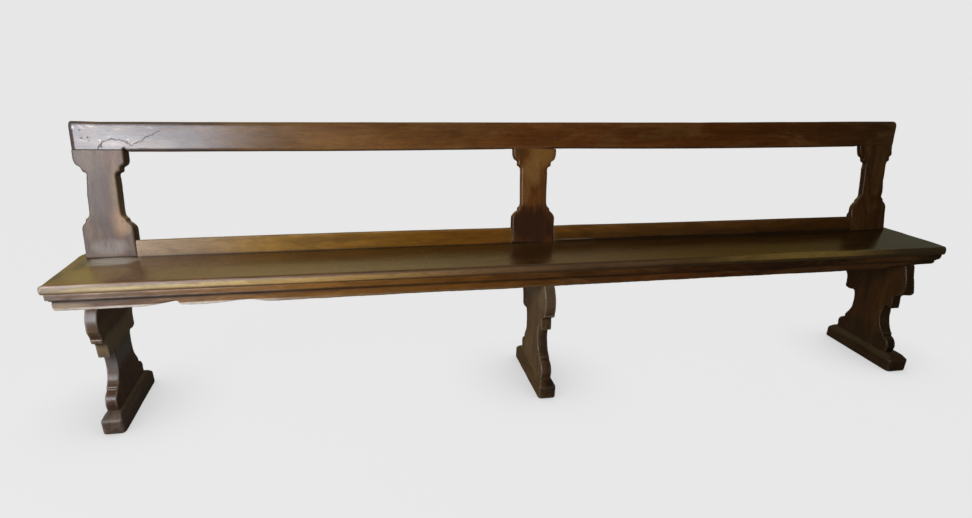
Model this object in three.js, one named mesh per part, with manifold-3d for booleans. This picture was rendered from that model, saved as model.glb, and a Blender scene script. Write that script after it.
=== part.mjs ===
// Monks bench in walnut: a long seat board with a moulded edge on three shaped plank legs,
// with a raked back of three shaped splats, a heavy top rail and two low rails.
// Millimetres, +Z up, X along the bench, the sitter faces -Y.
// The origin is on the floor at the middle of the bench's length and depth.

import * as THREE from "three";
import { mergeVertices } from "three/addons/utils/BufferGeometryUtils.js";
import Module from "manifold-3d";

const wasm = await Module();
wasm.setup();

// Seat board
const seatHeight = 480;
const seatLength = 3055;
const seatDepth = 314;
const seatThickness = 24.5;
const noseTipRise = 15.5;
const noseRound = 6.5;
const noseUndercut = 3;

// Edge mouldings under the board: a flat fascia strip, and a moulded apron strip below it
const fasciaHeight = 24;
const fasciaInset = 3.5;
const fasciaArris = 2.5;
const endOverhang = 5.5;
const apronHeight = 32.5;
const apronInset = 11.5;
const apronRelief = 5;
const mouldingBack = 34;

// Legs and their sled feet
const legInsetFromEnd = 120.5;
const legThickness = 30;
const legDepth = 317.5;
const legReach = 14.5;
const footLength = 357;
const footReach = 47.5;
const footWidth = 60;
const footHeight = 64;
const footPlanRound = 13;

// Raked back
const backRake = THREE.MathUtils.degToRad(13.42);
const backInsetFromRear = 57.2;
const backThickness = 34;
const backEndInset = 50;
const blockWidth = 147;
const shaftWidth = 84;
const middleSplatLean = THREE.MathUtils.degToRad(2.6);
const railRise = 330;
const railHeight = 90.5;
const railTopRound = 8;
const railBottomRound = 4;
const railCornerRound = 10;
const lowRailHeight = 56.8;
const lowRailThickness = 28;
const lowRailBevel = 3.5;
const lowRailNailShare = 0.6;
const glueBlockWidth = 14;
const glueBlockHeight = 19;
const glueBlockDepth = 15;

// Joints
const jointGap = 0.3;
const seatTenonLength = 45;
const seatTenonThickness = 14;
const seatTenonHeight = 13;
const footTenonLength = 150;
const footTenonThickness = 16;
const footTenonRecess = 1.5;
const splatTenonWidth = 92;
const splatTenonThickness = 11;
const railTenonHeight = 56;
const lowRailTenonReach = 12;
const lowRailTenonHeight = 30;
const lowRailTenonThickness = 9;
const wedgeBase = 5;
const wedgeTip = 1.5;
const wedgeRise = 20;
const pegRadius = 4.5;
const pegLength = 25;
const pegPitch = 50;
const pegRise = 27;
const nailShank = 1.8;
const nailTip = 0.9;
const nailHeadRadius = 4;
const nailHeadHeight = 1.6;
const nailPitch = 750;
const mouldingNailLength = 68;
const lowRailNailLength = 44;
const lowRailNailEndInset = 90;

// How far a cutting body runs past what it cuts, and how finely curves are stepped
const cutOverrun = 20;
const curveSteps = 3;
const roundSteps = 6;
const pegSides = 12;
const nailSides = 4;
const nailHoleSides = 8;

// Levels and places that follow from the sizes above
const seatUnderside = seatHeight - seatThickness;
const backSetback = seatDepth - backInsetFromRear;
const fasciaTop = seatUnderside - jointGap;
const apronTop = fasciaTop - fasciaHeight - jointGap;
const apronBottom = apronTop - apronHeight;
const legTop = seatUnderside - jointGap;
const legBottom = footHeight + jointGap;
const footFront = -footReach;
const footBack = footLength - footReach;
const legShapedTop = apronBottom - jointGap;
const mouldingEnd = seatLength / 2 - endOverhang;
const legX = seatLength / 2 - legInsetFromEnd;
const splatX = seatLength / 2 - backEndInset - blockWidth / 2;
const tenonFront = (backThickness - splatTenonThickness) / 2;
const railTop = railRise + railHeight;
const backReach = backSetback + backThickness * Math.cos(backRake) + railTop * Math.sin(backRake);

const legPlaces = [
  { side: "left", x: -legX },
  { side: "middle", x: 0 },
  { side: "right", x: legX },
];
const splatPlaces = [
  { side: "left", x: -splatX, lean: 0 },
  { side: "middle", x: 0, lean: middleSplatLean },
  { side: "right", x: splatX, lean: 0 },
];

// The leg's front and back edges, from the foot upwards. Each stretch is straight or a smooth curve
// through its points: shares of the leg's depth from its foremost reach, and of its shaped height.
const legFrontShares = [
  ["curve", [0.002, 0.04], [0.001, 0.071], [0.018, 0.114], [0.046, 0.144], [0.078, 0.161]],
  ["line", [0.108, 0.168], [0.116, 0.201]],
  ["curve", [0.128, 0.201], [0.154, 0.219], [0.186, 0.249], [0.216, 0.306], [0.238, 0.387], [0.234, 0.453],
    [0.218, 0.504], [0.196, 0.527]],
  ["line", [0.114, 0.504], [0.121, 0.575], [0.134, 0.646], [0.028, 0.707]],
  ["curve", [0.01, 0.737], [0.001, 0.789], [0.006, 0.845], [0.025, 0.906], [0.062, 0.964], [0.094, 1]],
];
const legBackShares = [
  ["curve", [0.877, 0.03], [0.886, 0.065], [0.879, 0.099], [0.852, 0.127], [0.811, 0.145]],
  ["line", [0.801, 0.147], [0.797, 0.191]],
  ["curve", [0.772, 0.227], [0.744, 0.267], [0.725, 0.312], [0.721, 0.363], [0.725, 0.417], [0.735, 0.467],
    [0.749, 0.504], [0.775, 0.522]],
  ["curve", [0.82, 0.51], [0.872, 0.508], [0.91, 0.516], [0.924, 0.534], [0.926, 0.574], [0.935, 0.625]],
  ["curve", [0.948, 0.66], [0.975, 0.689], [0.992, 0.705], [1, 0.73]],
];
const legFootShares = [0.013, 0.883];

// The foot's top falls away all round from the leg's outline: shares of the way in from the foot's
// side or end to the leg, and of the foot's height.
const footSideShares = [[0, 0.56], [0.1, 0.68], [0.26, 0.79], [0.55, 0.92], [1, 1]];
const footToeShares = [[0, 0.62], [0.06, 0.7], [0.24, 0.79], [0.6, 0.92], [1, 1]];
const footHeelShares = [[0, 0.4], [0.06, 0.53], [0.22, 0.68], [0.55, 0.86], [1, 1]];

// One edge of a splat, from the seat upwards: shares of the step from the shaft's half width out to
// the block's half width, and of the height from the seat to the rail.
const splatEdgeShares = [
  ["line", [1, 0.249]],
  ["curve", [0.975, 0.281], [0.85, 0.31], [0.62, 0.336]],
  ["line", [0.48, 0.341]],
  ["curve", [0.45, 0.355], [0.37, 0.379]],
  ["line", [0.24, 0.385]],
  ["curve", [0.09, 0.4], [0, 0.425]],
  ["line", [0, 0.782]],
  ["curve", [0.09, 0.802], [0.24, 0.812]],
  ["line", [0.44, 0.817]],
  ["curve", [0.53, 0.839], [0.56, 0.862]],
  ["line", [0.68, 0.868]],
  ["curve", [0.88, 0.881], [0.975, 0.896], [1, 0.917]],
];

// The apron's face from its bottom edge up: shares of its relief inwards, and of its height
const apronFaceShares = [[1, 0], [0.7, 0.05], [0.5, 0.16], [0.42, 0.36], [0.5, 0.55], [0.72, 0.7],
  [0.8, 0.84], [0.3, 0.86], [0, 0.9]];

// Where the leg's tenons stand, as shares of its depth
const seatTenonShares = [0.32, 0.62];
const footTenonShare = 0.45;
const wedgePlaceShare = 0.3;

// Walnut, darker below the seat than above it
const finishes = {
  seat: { color: 0x6b4a26, roughness: 0.34 },
  edge: { color: 0x5a3a20, roughness: 0.4 },
  back: { color: 0x573a22, roughness: 0.38 },
  under: { color: 0x3b2616, roughness: 0.48 },
  small: { color: 0x4a3019, roughness: 0.6 },
};
const ironFinish = { color: 0x3a3532, roughness: 0.6, metalness: 0.85 };

// Solids

function solidFrom(geometry) {
  const bare = geometry.index ? geometry.toNonIndexed() : geometry.clone();
  bare.deleteAttribute("normal");
  bare.deleteAttribute("uv");
  const merged = mergeVertices(bare);
  return new wasm.Manifold(new wasm.Mesh({
    numProp: 3,
    vertProperties: new Float32Array(merged.attributes.position.array),
    triVerts: new Uint32Array(merged.index.array),
  }));
}

function moved(solid, matrix) {
  return solid.transform(matrix.elements);
}

function shifted(solid, x, y, z) {
  return solid.translate([x, y, z]);
}

function joined(solids) {
  return solids.reduce((all, one) => all.add(one));
}

function cutBy(solid, cutters) {
  return cutters.reduce((rest, cutter) => rest.subtract(cutter), solid);
}

function boxBetween(low, high) {
  const size = high.map((value, axis) => value - low[axis]);
  const box = new THREE.BoxGeometry(...size);
  box.translate(...low.map((value, axis) => value + size[axis] / 2));
  return solidFrom(box);
}

function grownBox(low, high, margin) {
  return boxBetween(low.map((value) => value - margin), high.map((value) => value + margin));
}

// An outline drawn across (X, Z) and pushed back along +Y
function extrudeBackwards(shape, depth) {
  const matrix = new THREE.Matrix4().makeBasis(
    new THREE.Vector3(1, 0, 0), new THREE.Vector3(0, 0, 1), new THREE.Vector3(0, -1, 0));
  const geometry = extruded(shape, depth);
  geometry.translate(0, 0, -depth);
  return solidFrom(geometry.applyMatrix4(matrix));
}

// An outline drawn across (Y, Z) and pushed along X, centred
function extrudeSideways(shape, length) {
  const matrix = new THREE.Matrix4().makeBasis(
    new THREE.Vector3(0, 1, 0), new THREE.Vector3(0, 0, 1), new THREE.Vector3(1, 0, 0));
  const geometry = extruded(shape, length);
  geometry.translate(0, 0, -length / 2);
  return solidFrom(geometry.applyMatrix4(matrix));
}

function extruded(shape, depth) {
  return new THREE.ExtrudeGeometry(shape, { depth, curveSegments: roundSteps, bevelEnabled: false });
}

// Points along an edge that starts at one point and follows its straight and curved stretches
function edgePoints(start, stretches, place) {
  const path = new THREE.Path();
  path.moveTo(start.x, start.y);
  for (const [kind, ...shares] of stretches) {
    const points = shares.map(place);
    if (kind === "curve") {
      path.splineThru(points);
    } else {
      points.forEach((point) => path.lineTo(point.x, point.y));
    }
  }
  return path.getPoints(curveSteps);
}

// A tapered wedge's outline, base down at zero height
function wedgeOutline(base, tip, rise) {
  return new THREE.Shape([
    new THREE.Vector2(-base / 2, 0),
    new THREE.Vector2(base / 2, 0),
    new THREE.Vector2(tip / 2, rise),
    new THREE.Vector2(-tip / 2, rise),
  ]);
}

function mesh(name, solid, finish) {
  const { vertProperties, triVerts, numProp } = solid.getMesh();
  const geometry = new THREE.BufferGeometry();
  geometry.setAttribute("position", new THREE.BufferAttribute(new Float32Array(vertProperties), numProp));
  geometry.setIndex(new THREE.BufferAttribute(new Uint32Array(triVerts), 1));
  geometry.computeVertexNormals();
  const part = new THREE.Mesh(geometry, new THREE.MeshStandardMaterial({ metalness: 0, ...finish }));
  part.name = name;
  return part;
}

// Back frame: local X along the bench, Y back through the wood, Z up the slope from the seat

function backFrameMatrix() {
  const matrix = new THREE.Matrix4().makeRotationX(-backRake);
  return matrix.setPosition(0, backSetback, seatHeight);
}

function inBench(solid) {
  return moved(solid, backFrameMatrix());
}

function inBackFrame(solid) {
  return moved(solid, backFrameMatrix().invert());
}

// Everything below a level of the bench, seen from the back frame
function benchBelow(level) {
  const reach = seatDepth + backReach;
  const low = [-seatLength, -reach, -seatHeight];
  const high = [seatLength, reach, level];
  return inBackFrame(boxBetween(low, high));
}

function leaned(solid, splat) {
  const matrix = new THREE.Matrix4().makeRotationY(splat.lean);
  return moved(solid, matrix.setPosition(splat.x, 0, 0));
}

// Splats

function splatOutline() {
  const half = shaftWidth / 2;
  const step = blockWidth / 2 - half;
  const place = ([out, up]) => new THREE.Vector2(half + step * out, railRise * up);
  const start = new THREE.Vector2(blockWidth / 2, -cutOverrun);
  const right = edgePoints(start, splatEdgeShares, place);
  right.push(new THREE.Vector2(blockWidth / 2, railRise + cutOverrun));
  const left = right.map((point) => new THREE.Vector2(-point.x, point.y)).reverse();
  return new THREE.Shape([...right, ...left]);
}

function seatTenonOfSplat(splat, margin = 0) {
  const low = [-splatTenonWidth / 2, tenonFront, -2 * seatThickness];
  const high = [splatTenonWidth / 2, tenonFront + splatTenonThickness, railRise / 2];
  return leaned(grownBox(low, high, margin), splat);
}

function railTenonOfSplat(splat, margin = 0) {
  const low = [-splatTenonWidth / 2, tenonFront, railRise / 2];
  const high = [splatTenonWidth / 2, tenonFront + splatTenonThickness, railRise + railTenonHeight];
  return leaned(grownBox(low, high, margin), splat);
}

function splatBlock(splat, margin) {
  const low = [-blockWidth / 2, -cutOverrun, -cutOverrun];
  const high = [blockWidth / 2, backThickness + cutOverrun, lowRailHeight + cutOverrun];
  return leaned(grownBox(low, high, margin), splat);
}

// Two wedges are driven up into the splat's tenon, their bases level with the seat's underside
function seatWedges(splat, margin = 0) {
  const drop = seatThickness / Math.cos(backRake) + backThickness * Math.tan(backRake);
  const shape = wedgeOutline(wedgeBase + 2 * margin, wedgeTip + 2 * margin, wedgeRise + drop / 2);
  const body = extrudeBackwards(shape, splatTenonThickness + 2 * margin);
  const wedge = shifted(body, 0, tenonFront - margin, -drop);
  const offset = splatTenonWidth * wedgePlaceShare;
  return [-offset, offset].map((place) => leaned(shifted(wedge, place, 0, 0), splat));
}

function splatBody(splat) {
  const blank = leaned(extrudeBackwards(splatOutline(), backThickness), splat);
  const aboveRail = boxBetween(
    [-seatLength, -cutOverrun, railRise - jointGap],
    [seatLength, backThickness + cutOverrun, railTop]);
  const body = blank
    .subtract(benchBelow(seatHeight + jointGap))
    .subtract(aboveRail)
    .add(seatTenonOfSplat(splat).subtract(benchBelow(seatUnderside + jointGap)))
    .add(railTenonOfSplat(splat));
  return cutBy(body, [
    ...seatWedges(splat, jointGap),
    ...railPegs(splat, jointGap),
    ...lowRailTenons(jointGap),
  ]);
}

// Pegs drawn through the rail and the splat's upper tenon, from the back
function railPegs(splat, margin = 0) {
  const radius = pegRadius + margin;
  const length = pegLength + margin;
  const cylinder = new THREE.CylinderGeometry(radius, radius, length, pegSides);
  cylinder.translate(0, backThickness - length / 2 + margin, 0);
  const peg = solidFrom(cylinder);
  const height = railRise + pegRise;
  const middle = splat.x + height * Math.tan(splat.lean);
  return [middle - pegPitch / 2, middle + pegPitch / 2].map((x) => shifted(peg, x, 0, height));
}

// Top rail: a rounded section along the bench, with its two top corners rounded in elevation

function railSection() {
  const shape = new THREE.Shape();
  shape.moveTo(backThickness, railRise);
  shape.lineTo(backThickness, railTop);
  shape.lineTo(railTopRound, railTop);
  shape.absarc(railTopRound, railTop - railTopRound, railTopRound, Math.PI / 2, Math.PI, false);
  shape.lineTo(0, railRise + railBottomRound);
  shape.absarc(railBottomRound, railRise + railBottomRound, railBottomRound, Math.PI, Math.PI * 1.5, false);
  return shape;
}

function railElevation() {
  const half = splatX + blockWidth / 2;
  const corner = railCornerRound;
  const shape = new THREE.Shape();
  shape.moveTo(-half, railRise);
  shape.lineTo(half, railRise);
  shape.lineTo(half, railTop - corner);
  shape.absarc(half - corner, railTop - corner, corner, 0, Math.PI / 2, false);
  shape.lineTo(corner - half, railTop);
  shape.absarc(corner - half, railTop - corner, corner, Math.PI / 2, Math.PI, false);
  return shape;
}

function topRail() {
  const rail = extrudeSideways(railSection(), seatLength)
    .intersect(extrudeBackwards(railElevation(), backThickness));
  const cutters = splatPlaces.flatMap((splat) => [
    railTenonOfSplat(splat, jointGap),
    ...railPegs(splat, jointGap),
  ]);
  return cutBy(rail, cutters);
}

// Low rails between the splats, standing on the seat

function lowRailSection() {
  return new THREE.Shape([
    new THREE.Vector2(0, -cutOverrun),
    new THREE.Vector2(lowRailThickness, -cutOverrun),
    new THREE.Vector2(lowRailThickness, lowRailHeight),
    new THREE.Vector2(lowRailBevel, lowRailHeight),
    new THREE.Vector2(0, lowRailHeight - lowRailBevel),
  ]);
}

function lowRailTenonAt(edge, side, margin) {
  const front = (lowRailThickness - lowRailTenonThickness) / 2;
  const base = (lowRailHeight - lowRailTenonHeight) / 2;
  const tip = edge - side * lowRailTenonReach;
  const root = edge + side * cutOverrun;
  return grownBox(
    [Math.min(tip, root), front, base],
    [Math.max(tip, root), front + lowRailTenonThickness, base + lowRailTenonHeight],
    margin);
}

function lowRailTenonPair(from, to, margin) {
  return [
    lowRailTenonAt(from.x + blockWidth / 2, 1, margin),
    lowRailTenonAt(to.x - blockWidth / 2, -1, margin),
  ];
}

function lowRailTenons(margin) {
  const [left, middle, right] = splatPlaces;
  return [...lowRailTenonPair(left, middle, margin), ...lowRailTenonPair(middle, right, margin)];
}

function lowRail(from, to) {
  const length = to.x - from.x;
  const bar = shifted(extrudeSideways(lowRailSection(), length), (from.x + to.x) / 2, 0, 0);
  const shouldered = bar
    .subtract(splatBlock(from, jointGap))
    .subtract(splatBlock(to, jointGap))
    .subtract(benchBelow(seatHeight + jointGap))
    .add(joined(lowRailTenonPair(from, to, 0)));
  return cutBy(shouldered, lowRailNails(from, to, jointGap).map(inBackFrame));
}

// A rounded glue block stands on the low rail in the corner behind the right splat
function glueBlock() {
  const right = splatX - blockWidth / 2 - jointGap;
  const base = lowRailHeight + jointGap;
  const shape = new THREE.Shape();
  shape.moveTo(right, base);
  shape.lineTo(right, base + glueBlockHeight);
  shape.absellipse(right, base, glueBlockWidth, glueBlockHeight, Math.PI / 2, Math.PI, false);
  return shifted(extrudeBackwards(shape, glueBlockDepth), 0, lowRailThickness - glueBlockDepth, 0);
}

// Seat board and its edge mouldings

// The board's edge in section: a blunt nose whose tip is level with zero
function noseOutline(run, mirrored) {
  const top = seatHeight;
  const tip = seatUnderside + noseTipRise;
  const nose = new THREE.Path();
  nose.moveTo(noseRound, top);
  nose.absellipse(noseRound, tip, noseRound, top - tip, Math.PI / 2, Math.PI, false);
  nose.absellipse(noseUndercut, tip, noseUndercut, noseTipRise, Math.PI, Math.PI * 1.5, false);
  const points = nose.getPoints(roundSteps);
  if (mirrored) {
    const far = points.map((point) => new THREE.Vector2(run - point.x, point.y)).reverse();
    return new THREE.Shape([...points, ...far]);
  }
  const back = [new THREE.Vector2(run, seatUnderside), new THREE.Vector2(run, seatHeight)];
  return new THREE.Shape([...points, ...back]);
}

function seatBoard() {
  const along = extrudeSideways(noseOutline(seatDepth, false), seatLength);
  const across = shifted(extrudeBackwards(noseOutline(seatLength, true), seatDepth), -seatLength / 2, 0, 0);
  const [left, middle, right] = splatPlaces;
  return cutBy(along.intersect(across), [
    ...mouldingNails(jointGap),
    ...legPlaces.map((leg) => shifted(joined(legSeatTenons(jointGap)), leg.x, 0, 0)),
    ...splatPlaces.map((splat) => inBench(seatTenonOfSplat(splat, jointGap))),
    ...lowRailNails(left, middle, jointGap),
    ...lowRailNails(middle, right, jointGap),
  ]);
}

function fasciaOutline() {
  const bottom = fasciaTop - fasciaHeight;
  return new THREE.Shape([
    new THREE.Vector2(fasciaInset, fasciaTop),
    new THREE.Vector2(fasciaInset, bottom + fasciaArris),
    new THREE.Vector2(fasciaInset + fasciaArris, bottom),
    new THREE.Vector2(mouldingBack, bottom),
    new THREE.Vector2(mouldingBack, fasciaTop),
  ]);
}

function apronOutline() {
  const place = ([inwards, up]) =>
    new THREE.Vector2(apronInset + apronRelief * inwards, apronBottom + apronHeight * up);
  return new THREE.Shape([
    ...apronFaceShares.map(place),
    new THREE.Vector2(apronInset, apronTop),
    new THREE.Vector2(mouldingBack, apronTop),
    new THREE.Vector2(mouldingBack, apronBottom),
  ]);
}

function planPrism(points) {
  const shape = new THREE.Shape(points.map(([x, y]) => new THREE.Vector2(x, y)));
  return solidFrom(extruded(shape, seatHeight));
}

// The front length is mitred at both ends
function frontMoulding(outline) {
  const end = mouldingEnd - jointGap / 2;
  const bar = extrudeSideways(outline, seatLength);
  const mitred = bar.intersect(planPrism([
    [-end, 0], [end, 0], [end - mouldingBack, mouldingBack], [mouldingBack - end, mouldingBack],
  ]));
  return cutBy(mitred, frontMouldingNails(jointGap));
}

// An end length meets the front one in a mitre and stops flush with the back of the board
function endMoulding(outline, side) {
  const matrix = new THREE.Matrix4().makeBasis(
    new THREE.Vector3(0, 1, 0), new THREE.Vector3(-side, 0, 0), new THREE.Vector3(0, 0, 1));
  const end = side * mouldingEnd;
  matrix.setPosition(end, 0, 0);
  const bar = extrudeSideways(outline, 2 * seatDepth);
  const turned = moved(bar, matrix);
  const inner = end - side * mouldingBack;
  const mitreOffset = jointGap / 2;
  const corners = [
    [end, mitreOffset], [end, seatDepth], [inner, seatDepth], [inner, mouldingBack + mitreOffset],
  ];
  const mitred = turned.intersect(planPrism(side > 0 ? corners : corners.reverse()));
  return cutBy(mitred, endMouldingNails(side, jointGap));
}

// Nails

function nail(length, margin = 0) {
  const sides = margin > 0 ? nailHoleSides : nailSides;
  const shank = new THREE.CylinderGeometry(nailTip + margin, nailShank + margin, length + margin, sides);
  shank.rotateX(Math.PI / 2).translate(0, 0, (length + margin) / 2);
  const headRadius = nailHeadRadius + margin;
  const head = new THREE.CylinderGeometry(headRadius, headRadius, nailHeadHeight + margin, nailHoleSides);
  head.rotateX(Math.PI / 2).translate(0, 0, (nailHeadHeight - margin) / 2 + margin);
  return solidFrom(shank).add(solidFrom(head));
}

// Evenly spaced places along a run, no further apart than the nail pitch
function spacedPlaces(from, to) {
  const count = Math.max(1, Math.ceil((to - from) / nailPitch));
  return Array.from({ length: count + 1 }, (_, index) => from + (to - from) * index / count);
}

function nailRow(places, length, margin) {
  return places.map(([x, y, z]) => shifted(nail(length, margin), x, y, z));
}

function mouldingNailLine() {
  return (apronInset + apronRelief + mouldingBack) / 2;
}

function frontMouldingNails(margin = 0) {
  const line = mouldingNailLine();
  const end = mouldingEnd - 2 * mouldingBack;
  const places = spacedPlaces(-end, end).map((x) => [x, line, apronBottom]);
  return nailRow(places, mouldingNailLength, margin);
}

function endMouldingNails(side, margin = 0) {
  const x = side * (mouldingEnd - mouldingNailLine());
  const places = spacedPlaces(2 * mouldingBack, seatDepth - mouldingBack).map((y) => [x, y, apronBottom]);
  return nailRow(places, mouldingNailLength, margin);
}

function mouldingNails(margin) {
  return [...frontMouldingNails(margin), ...endMouldingNails(-1, margin), ...endMouldingNails(1, margin)];
}

// Nails driven up through the board into the foot of a low rail
function lowRailNails(from, to, margin = 0) {
  const start = from.x + blockWidth / 2 + lowRailNailEndInset;
  const end = to.x - blockWidth / 2 - lowRailNailEndInset;
  const y = backSetback + lowRailThickness * lowRailNailShare;
  return nailRow(spacedPlaces(start, end).map((x) => [x, y, seatUnderside]), lowRailNailLength, margin);
}

// Legs and feet, each drawn at the bench's middle and moved to its place

// The outline runs past the shoulders, which are then cut square
function legOutline() {
  const shapedHeight = legShapedTop - legBottom;
  const place = ([back, up]) => new THREE.Vector2(legDepth * back - legReach, legBottom + shapedHeight * up);
  const [frontFoot, backFoot] = legFootShares.map((share) => place([share, 0]));
  const front = edgePoints(frontFoot, legFrontShares, place);
  const back = edgePoints(backFoot, legBackShares, place);
  const low = legBottom - cutOverrun;
  const high = legTop + cutOverrun;
  return new THREE.Shape([
    new THREE.Vector2(frontFoot.x, low),
    ...front,
    new THREE.Vector2(front.at(-1).x, high),
    new THREE.Vector2(back.at(-1).x, high),
    ...back.reverse(),
    new THREE.Vector2(backFoot.x, low),
  ]);
}

function legBlank() {
  const notch = mouldingBack + jointGap;
  const front = -footLength;
  const back = seatDepth + footLength;
  return extrudeSideways(legOutline(), legThickness)
    .subtract(boxBetween([-legThickness, front, -seatHeight], [legThickness, back, legBottom]))
    .subtract(boxBetween([-legThickness, front, legTop], [legThickness, back, 2 * seatHeight]))
    .subtract(boxBetween([-legThickness, front, legShapedTop], [legThickness, notch, seatHeight]));
}

function legSeatTenons(margin = 0) {
  return seatTenonShares.map((share) => {
    const middle = legDepth * share - legReach;
    return grownBox(
      [-seatTenonThickness / 2, middle - seatTenonLength / 2, legTop - seatTenonHeight],
      [seatTenonThickness / 2, middle + seatTenonLength / 2, legTop + seatTenonHeight],
      margin);
  });
}

function footTenonMiddle() {
  return legDepth * footTenonShare - legReach;
}

function footTenon(margin = 0) {
  const middle = footTenonMiddle();
  return boxBetween(
    [-footTenonThickness / 2 - margin, middle - footTenonLength / 2 - margin, footTenonRecess - margin],
    [footTenonThickness / 2 + margin, middle + footTenonLength / 2 + margin, legBottom + cutOverrun]);
}

// Two wedges driven up into the foot tenon
function footWedges(margin = 0) {
  const shape = wedgeOutline(wedgeBase + 2 * margin, wedgeTip + 2 * margin, wedgeRise + 2 * margin);
  const wedge = extrudeSideways(shape, footTenonThickness + 2 * margin);
  const offset = footTenonLength * wedgePlaceShare;
  const middle = footTenonMiddle();
  const base = footTenonRecess - margin;
  return [middle - offset, middle + offset].map((place) => shifted(wedge, 0, place, base));
}

function legBody() {
  const body = legBlank()
    .add(joined(legSeatTenons()))
    .add(footTenon());
  return cutBy(body, footWedges(jointGap));
}

function footPlan() {
  const half = footWidth / 2;
  const round = footPlanRound;
  const shape = new THREE.Shape();
  shape.moveTo(round - half, footFront);
  shape.lineTo(half - round, footFront);
  shape.absarc(half - round, footFront + round, round, -Math.PI / 2, 0, false);
  shape.lineTo(half, footBack - round);
  shape.absarc(half - round, footBack - round, round, 0, Math.PI / 2, false);
  shape.lineTo(round - half, footBack);
  shape.absarc(round - half, footBack - round, round, Math.PI / 2, Math.PI, false);
  shape.lineTo(-half, footFront + round);
  shape.absarc(round - half, footFront + round, round, Math.PI, Math.PI * 1.5, false);
  return shape;
}

// A run of points from the foot's rim at one place in to its full height at another
function footShoulder(shares, rim, shoulder) {
  return shares.map(([inwards, up]) =>
    new THREE.Vector2(rim + (shoulder - rim) * inwards, footHeight * up));
}

function footSection() {
  const half = footWidth / 2;
  const left = footShoulder(footSideShares, -half, -legThickness / 2);
  const right = footShoulder(footSideShares, half, legThickness / 2).reverse();
  return new THREE.Shape([new THREE.Vector2(-half, 0), ...left, ...right, new THREE.Vector2(half, 0)]);
}

function footElevation() {
  const [legFront, legBack] = legFootShares.map((share) => legDepth * share - legReach);
  const toe = footShoulder(footToeShares, footFront, legFront);
  const heel = footShoulder(footHeelShares, footBack, legBack).reverse();
  return new THREE.Shape([
    new THREE.Vector2(footFront, 0), ...toe, ...heel, new THREE.Vector2(footBack, 0),
  ]);
}

function footBody() {
  const block = solidFrom(extruded(footPlan(), footHeight + cutOverrun));
  const section = shifted(extrudeBackwards(footSection(), footLength), 0, footFront, 0);
  const elevation = extrudeSideways(footElevation(), footWidth);
  const tenonWay = footTenon(jointGap).add(shifted(footTenon(jointGap), 0, 0, -cutOverrun));
  return block.intersect(section).intersect(elevation).subtract(tenonWay);
}

// Assembly

function addRow(group, name, solids, finish) {
  solids.forEach((solid, index) => group.add(mesh(`${name}_${index + 1}`, solid, finish)));
}

function addLeg(bench, leg) {
  const unit = new THREE.Group();
  unit.position.x = leg.x;
  unit.add(mesh(`leg_${leg.side}`, legBody(), finishes.under));
  unit.add(mesh(`foot_${leg.side}`, footBody(), finishes.under));
  addRow(unit, `foot_wedge_${leg.side}`, footWedges(), finishes.small);
  bench.add(unit);
}

function addSeat(bench) {
  bench.add(mesh("seat_board", seatBoard(), finishes.seat));
  bench.add(mesh("fascia_front", frontMoulding(fasciaOutline()), finishes.edge));
  bench.add(mesh("fascia_left", endMoulding(fasciaOutline(), -1), finishes.edge));
  bench.add(mesh("fascia_right", endMoulding(fasciaOutline(), 1), finishes.edge));
  bench.add(mesh("apron_front", frontMoulding(apronOutline()), finishes.edge));
  bench.add(mesh("apron_left", endMoulding(apronOutline(), -1), finishes.edge));
  bench.add(mesh("apron_right", endMoulding(apronOutline(), 1), finishes.edge));
  addRow(bench, "apron_nail_front", frontMouldingNails(), ironFinish);
  addRow(bench, "apron_nail_left", endMouldingNails(-1), ironFinish);
  addRow(bench, "apron_nail_right", endMouldingNails(1), ironFinish);
}

function addBack(bench) {
  const back = new THREE.Group();
  back.rotation.x = -backRake;
  back.position.set(0, backSetback, seatHeight);
  for (const splat of splatPlaces) {
    back.add(mesh(`splat_${splat.side}`, splatBody(splat), finishes.back));
    addRow(back, `rail_peg_${splat.side}`, railPegs(splat), finishes.small);
    const wedges = seatWedges(splat).map((wedge) => wedge.subtract(benchBelow(seatUnderside + jointGap)));
    addRow(back, `seat_wedge_${splat.side}`, wedges, finishes.small);
  }
  const [left, middle, right] = splatPlaces;
  back.add(mesh("top_rail", topRail(), finishes.back));
  back.add(mesh("low_rail_left", lowRail(left, middle), finishes.back));
  back.add(mesh("low_rail_right", lowRail(middle, right), finishes.back));
  back.add(mesh("glue_block_right", glueBlock(), finishes.small));
  bench.add(back);
  addRow(bench, "low_rail_nail_left", lowRailNails(left, middle), ironFinish);
  addRow(bench, "low_rail_nail_right", lowRailNails(middle, right), ironFinish);
}

function buildBench() {
  const bench = new THREE.Group();
  bench.position.y = (footReach - backReach) / 2;
  addSeat(bench);
  legPlaces.forEach((leg) => addLeg(bench, leg));
  addBack(bench);
  return bench;
}

export default buildBench();
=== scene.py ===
from math import ceil, cos, pi, radians, sin, sqrt, tan

import bmesh
import bpy
import numpy as np
from mathutils import Matrix, Vector

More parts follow.
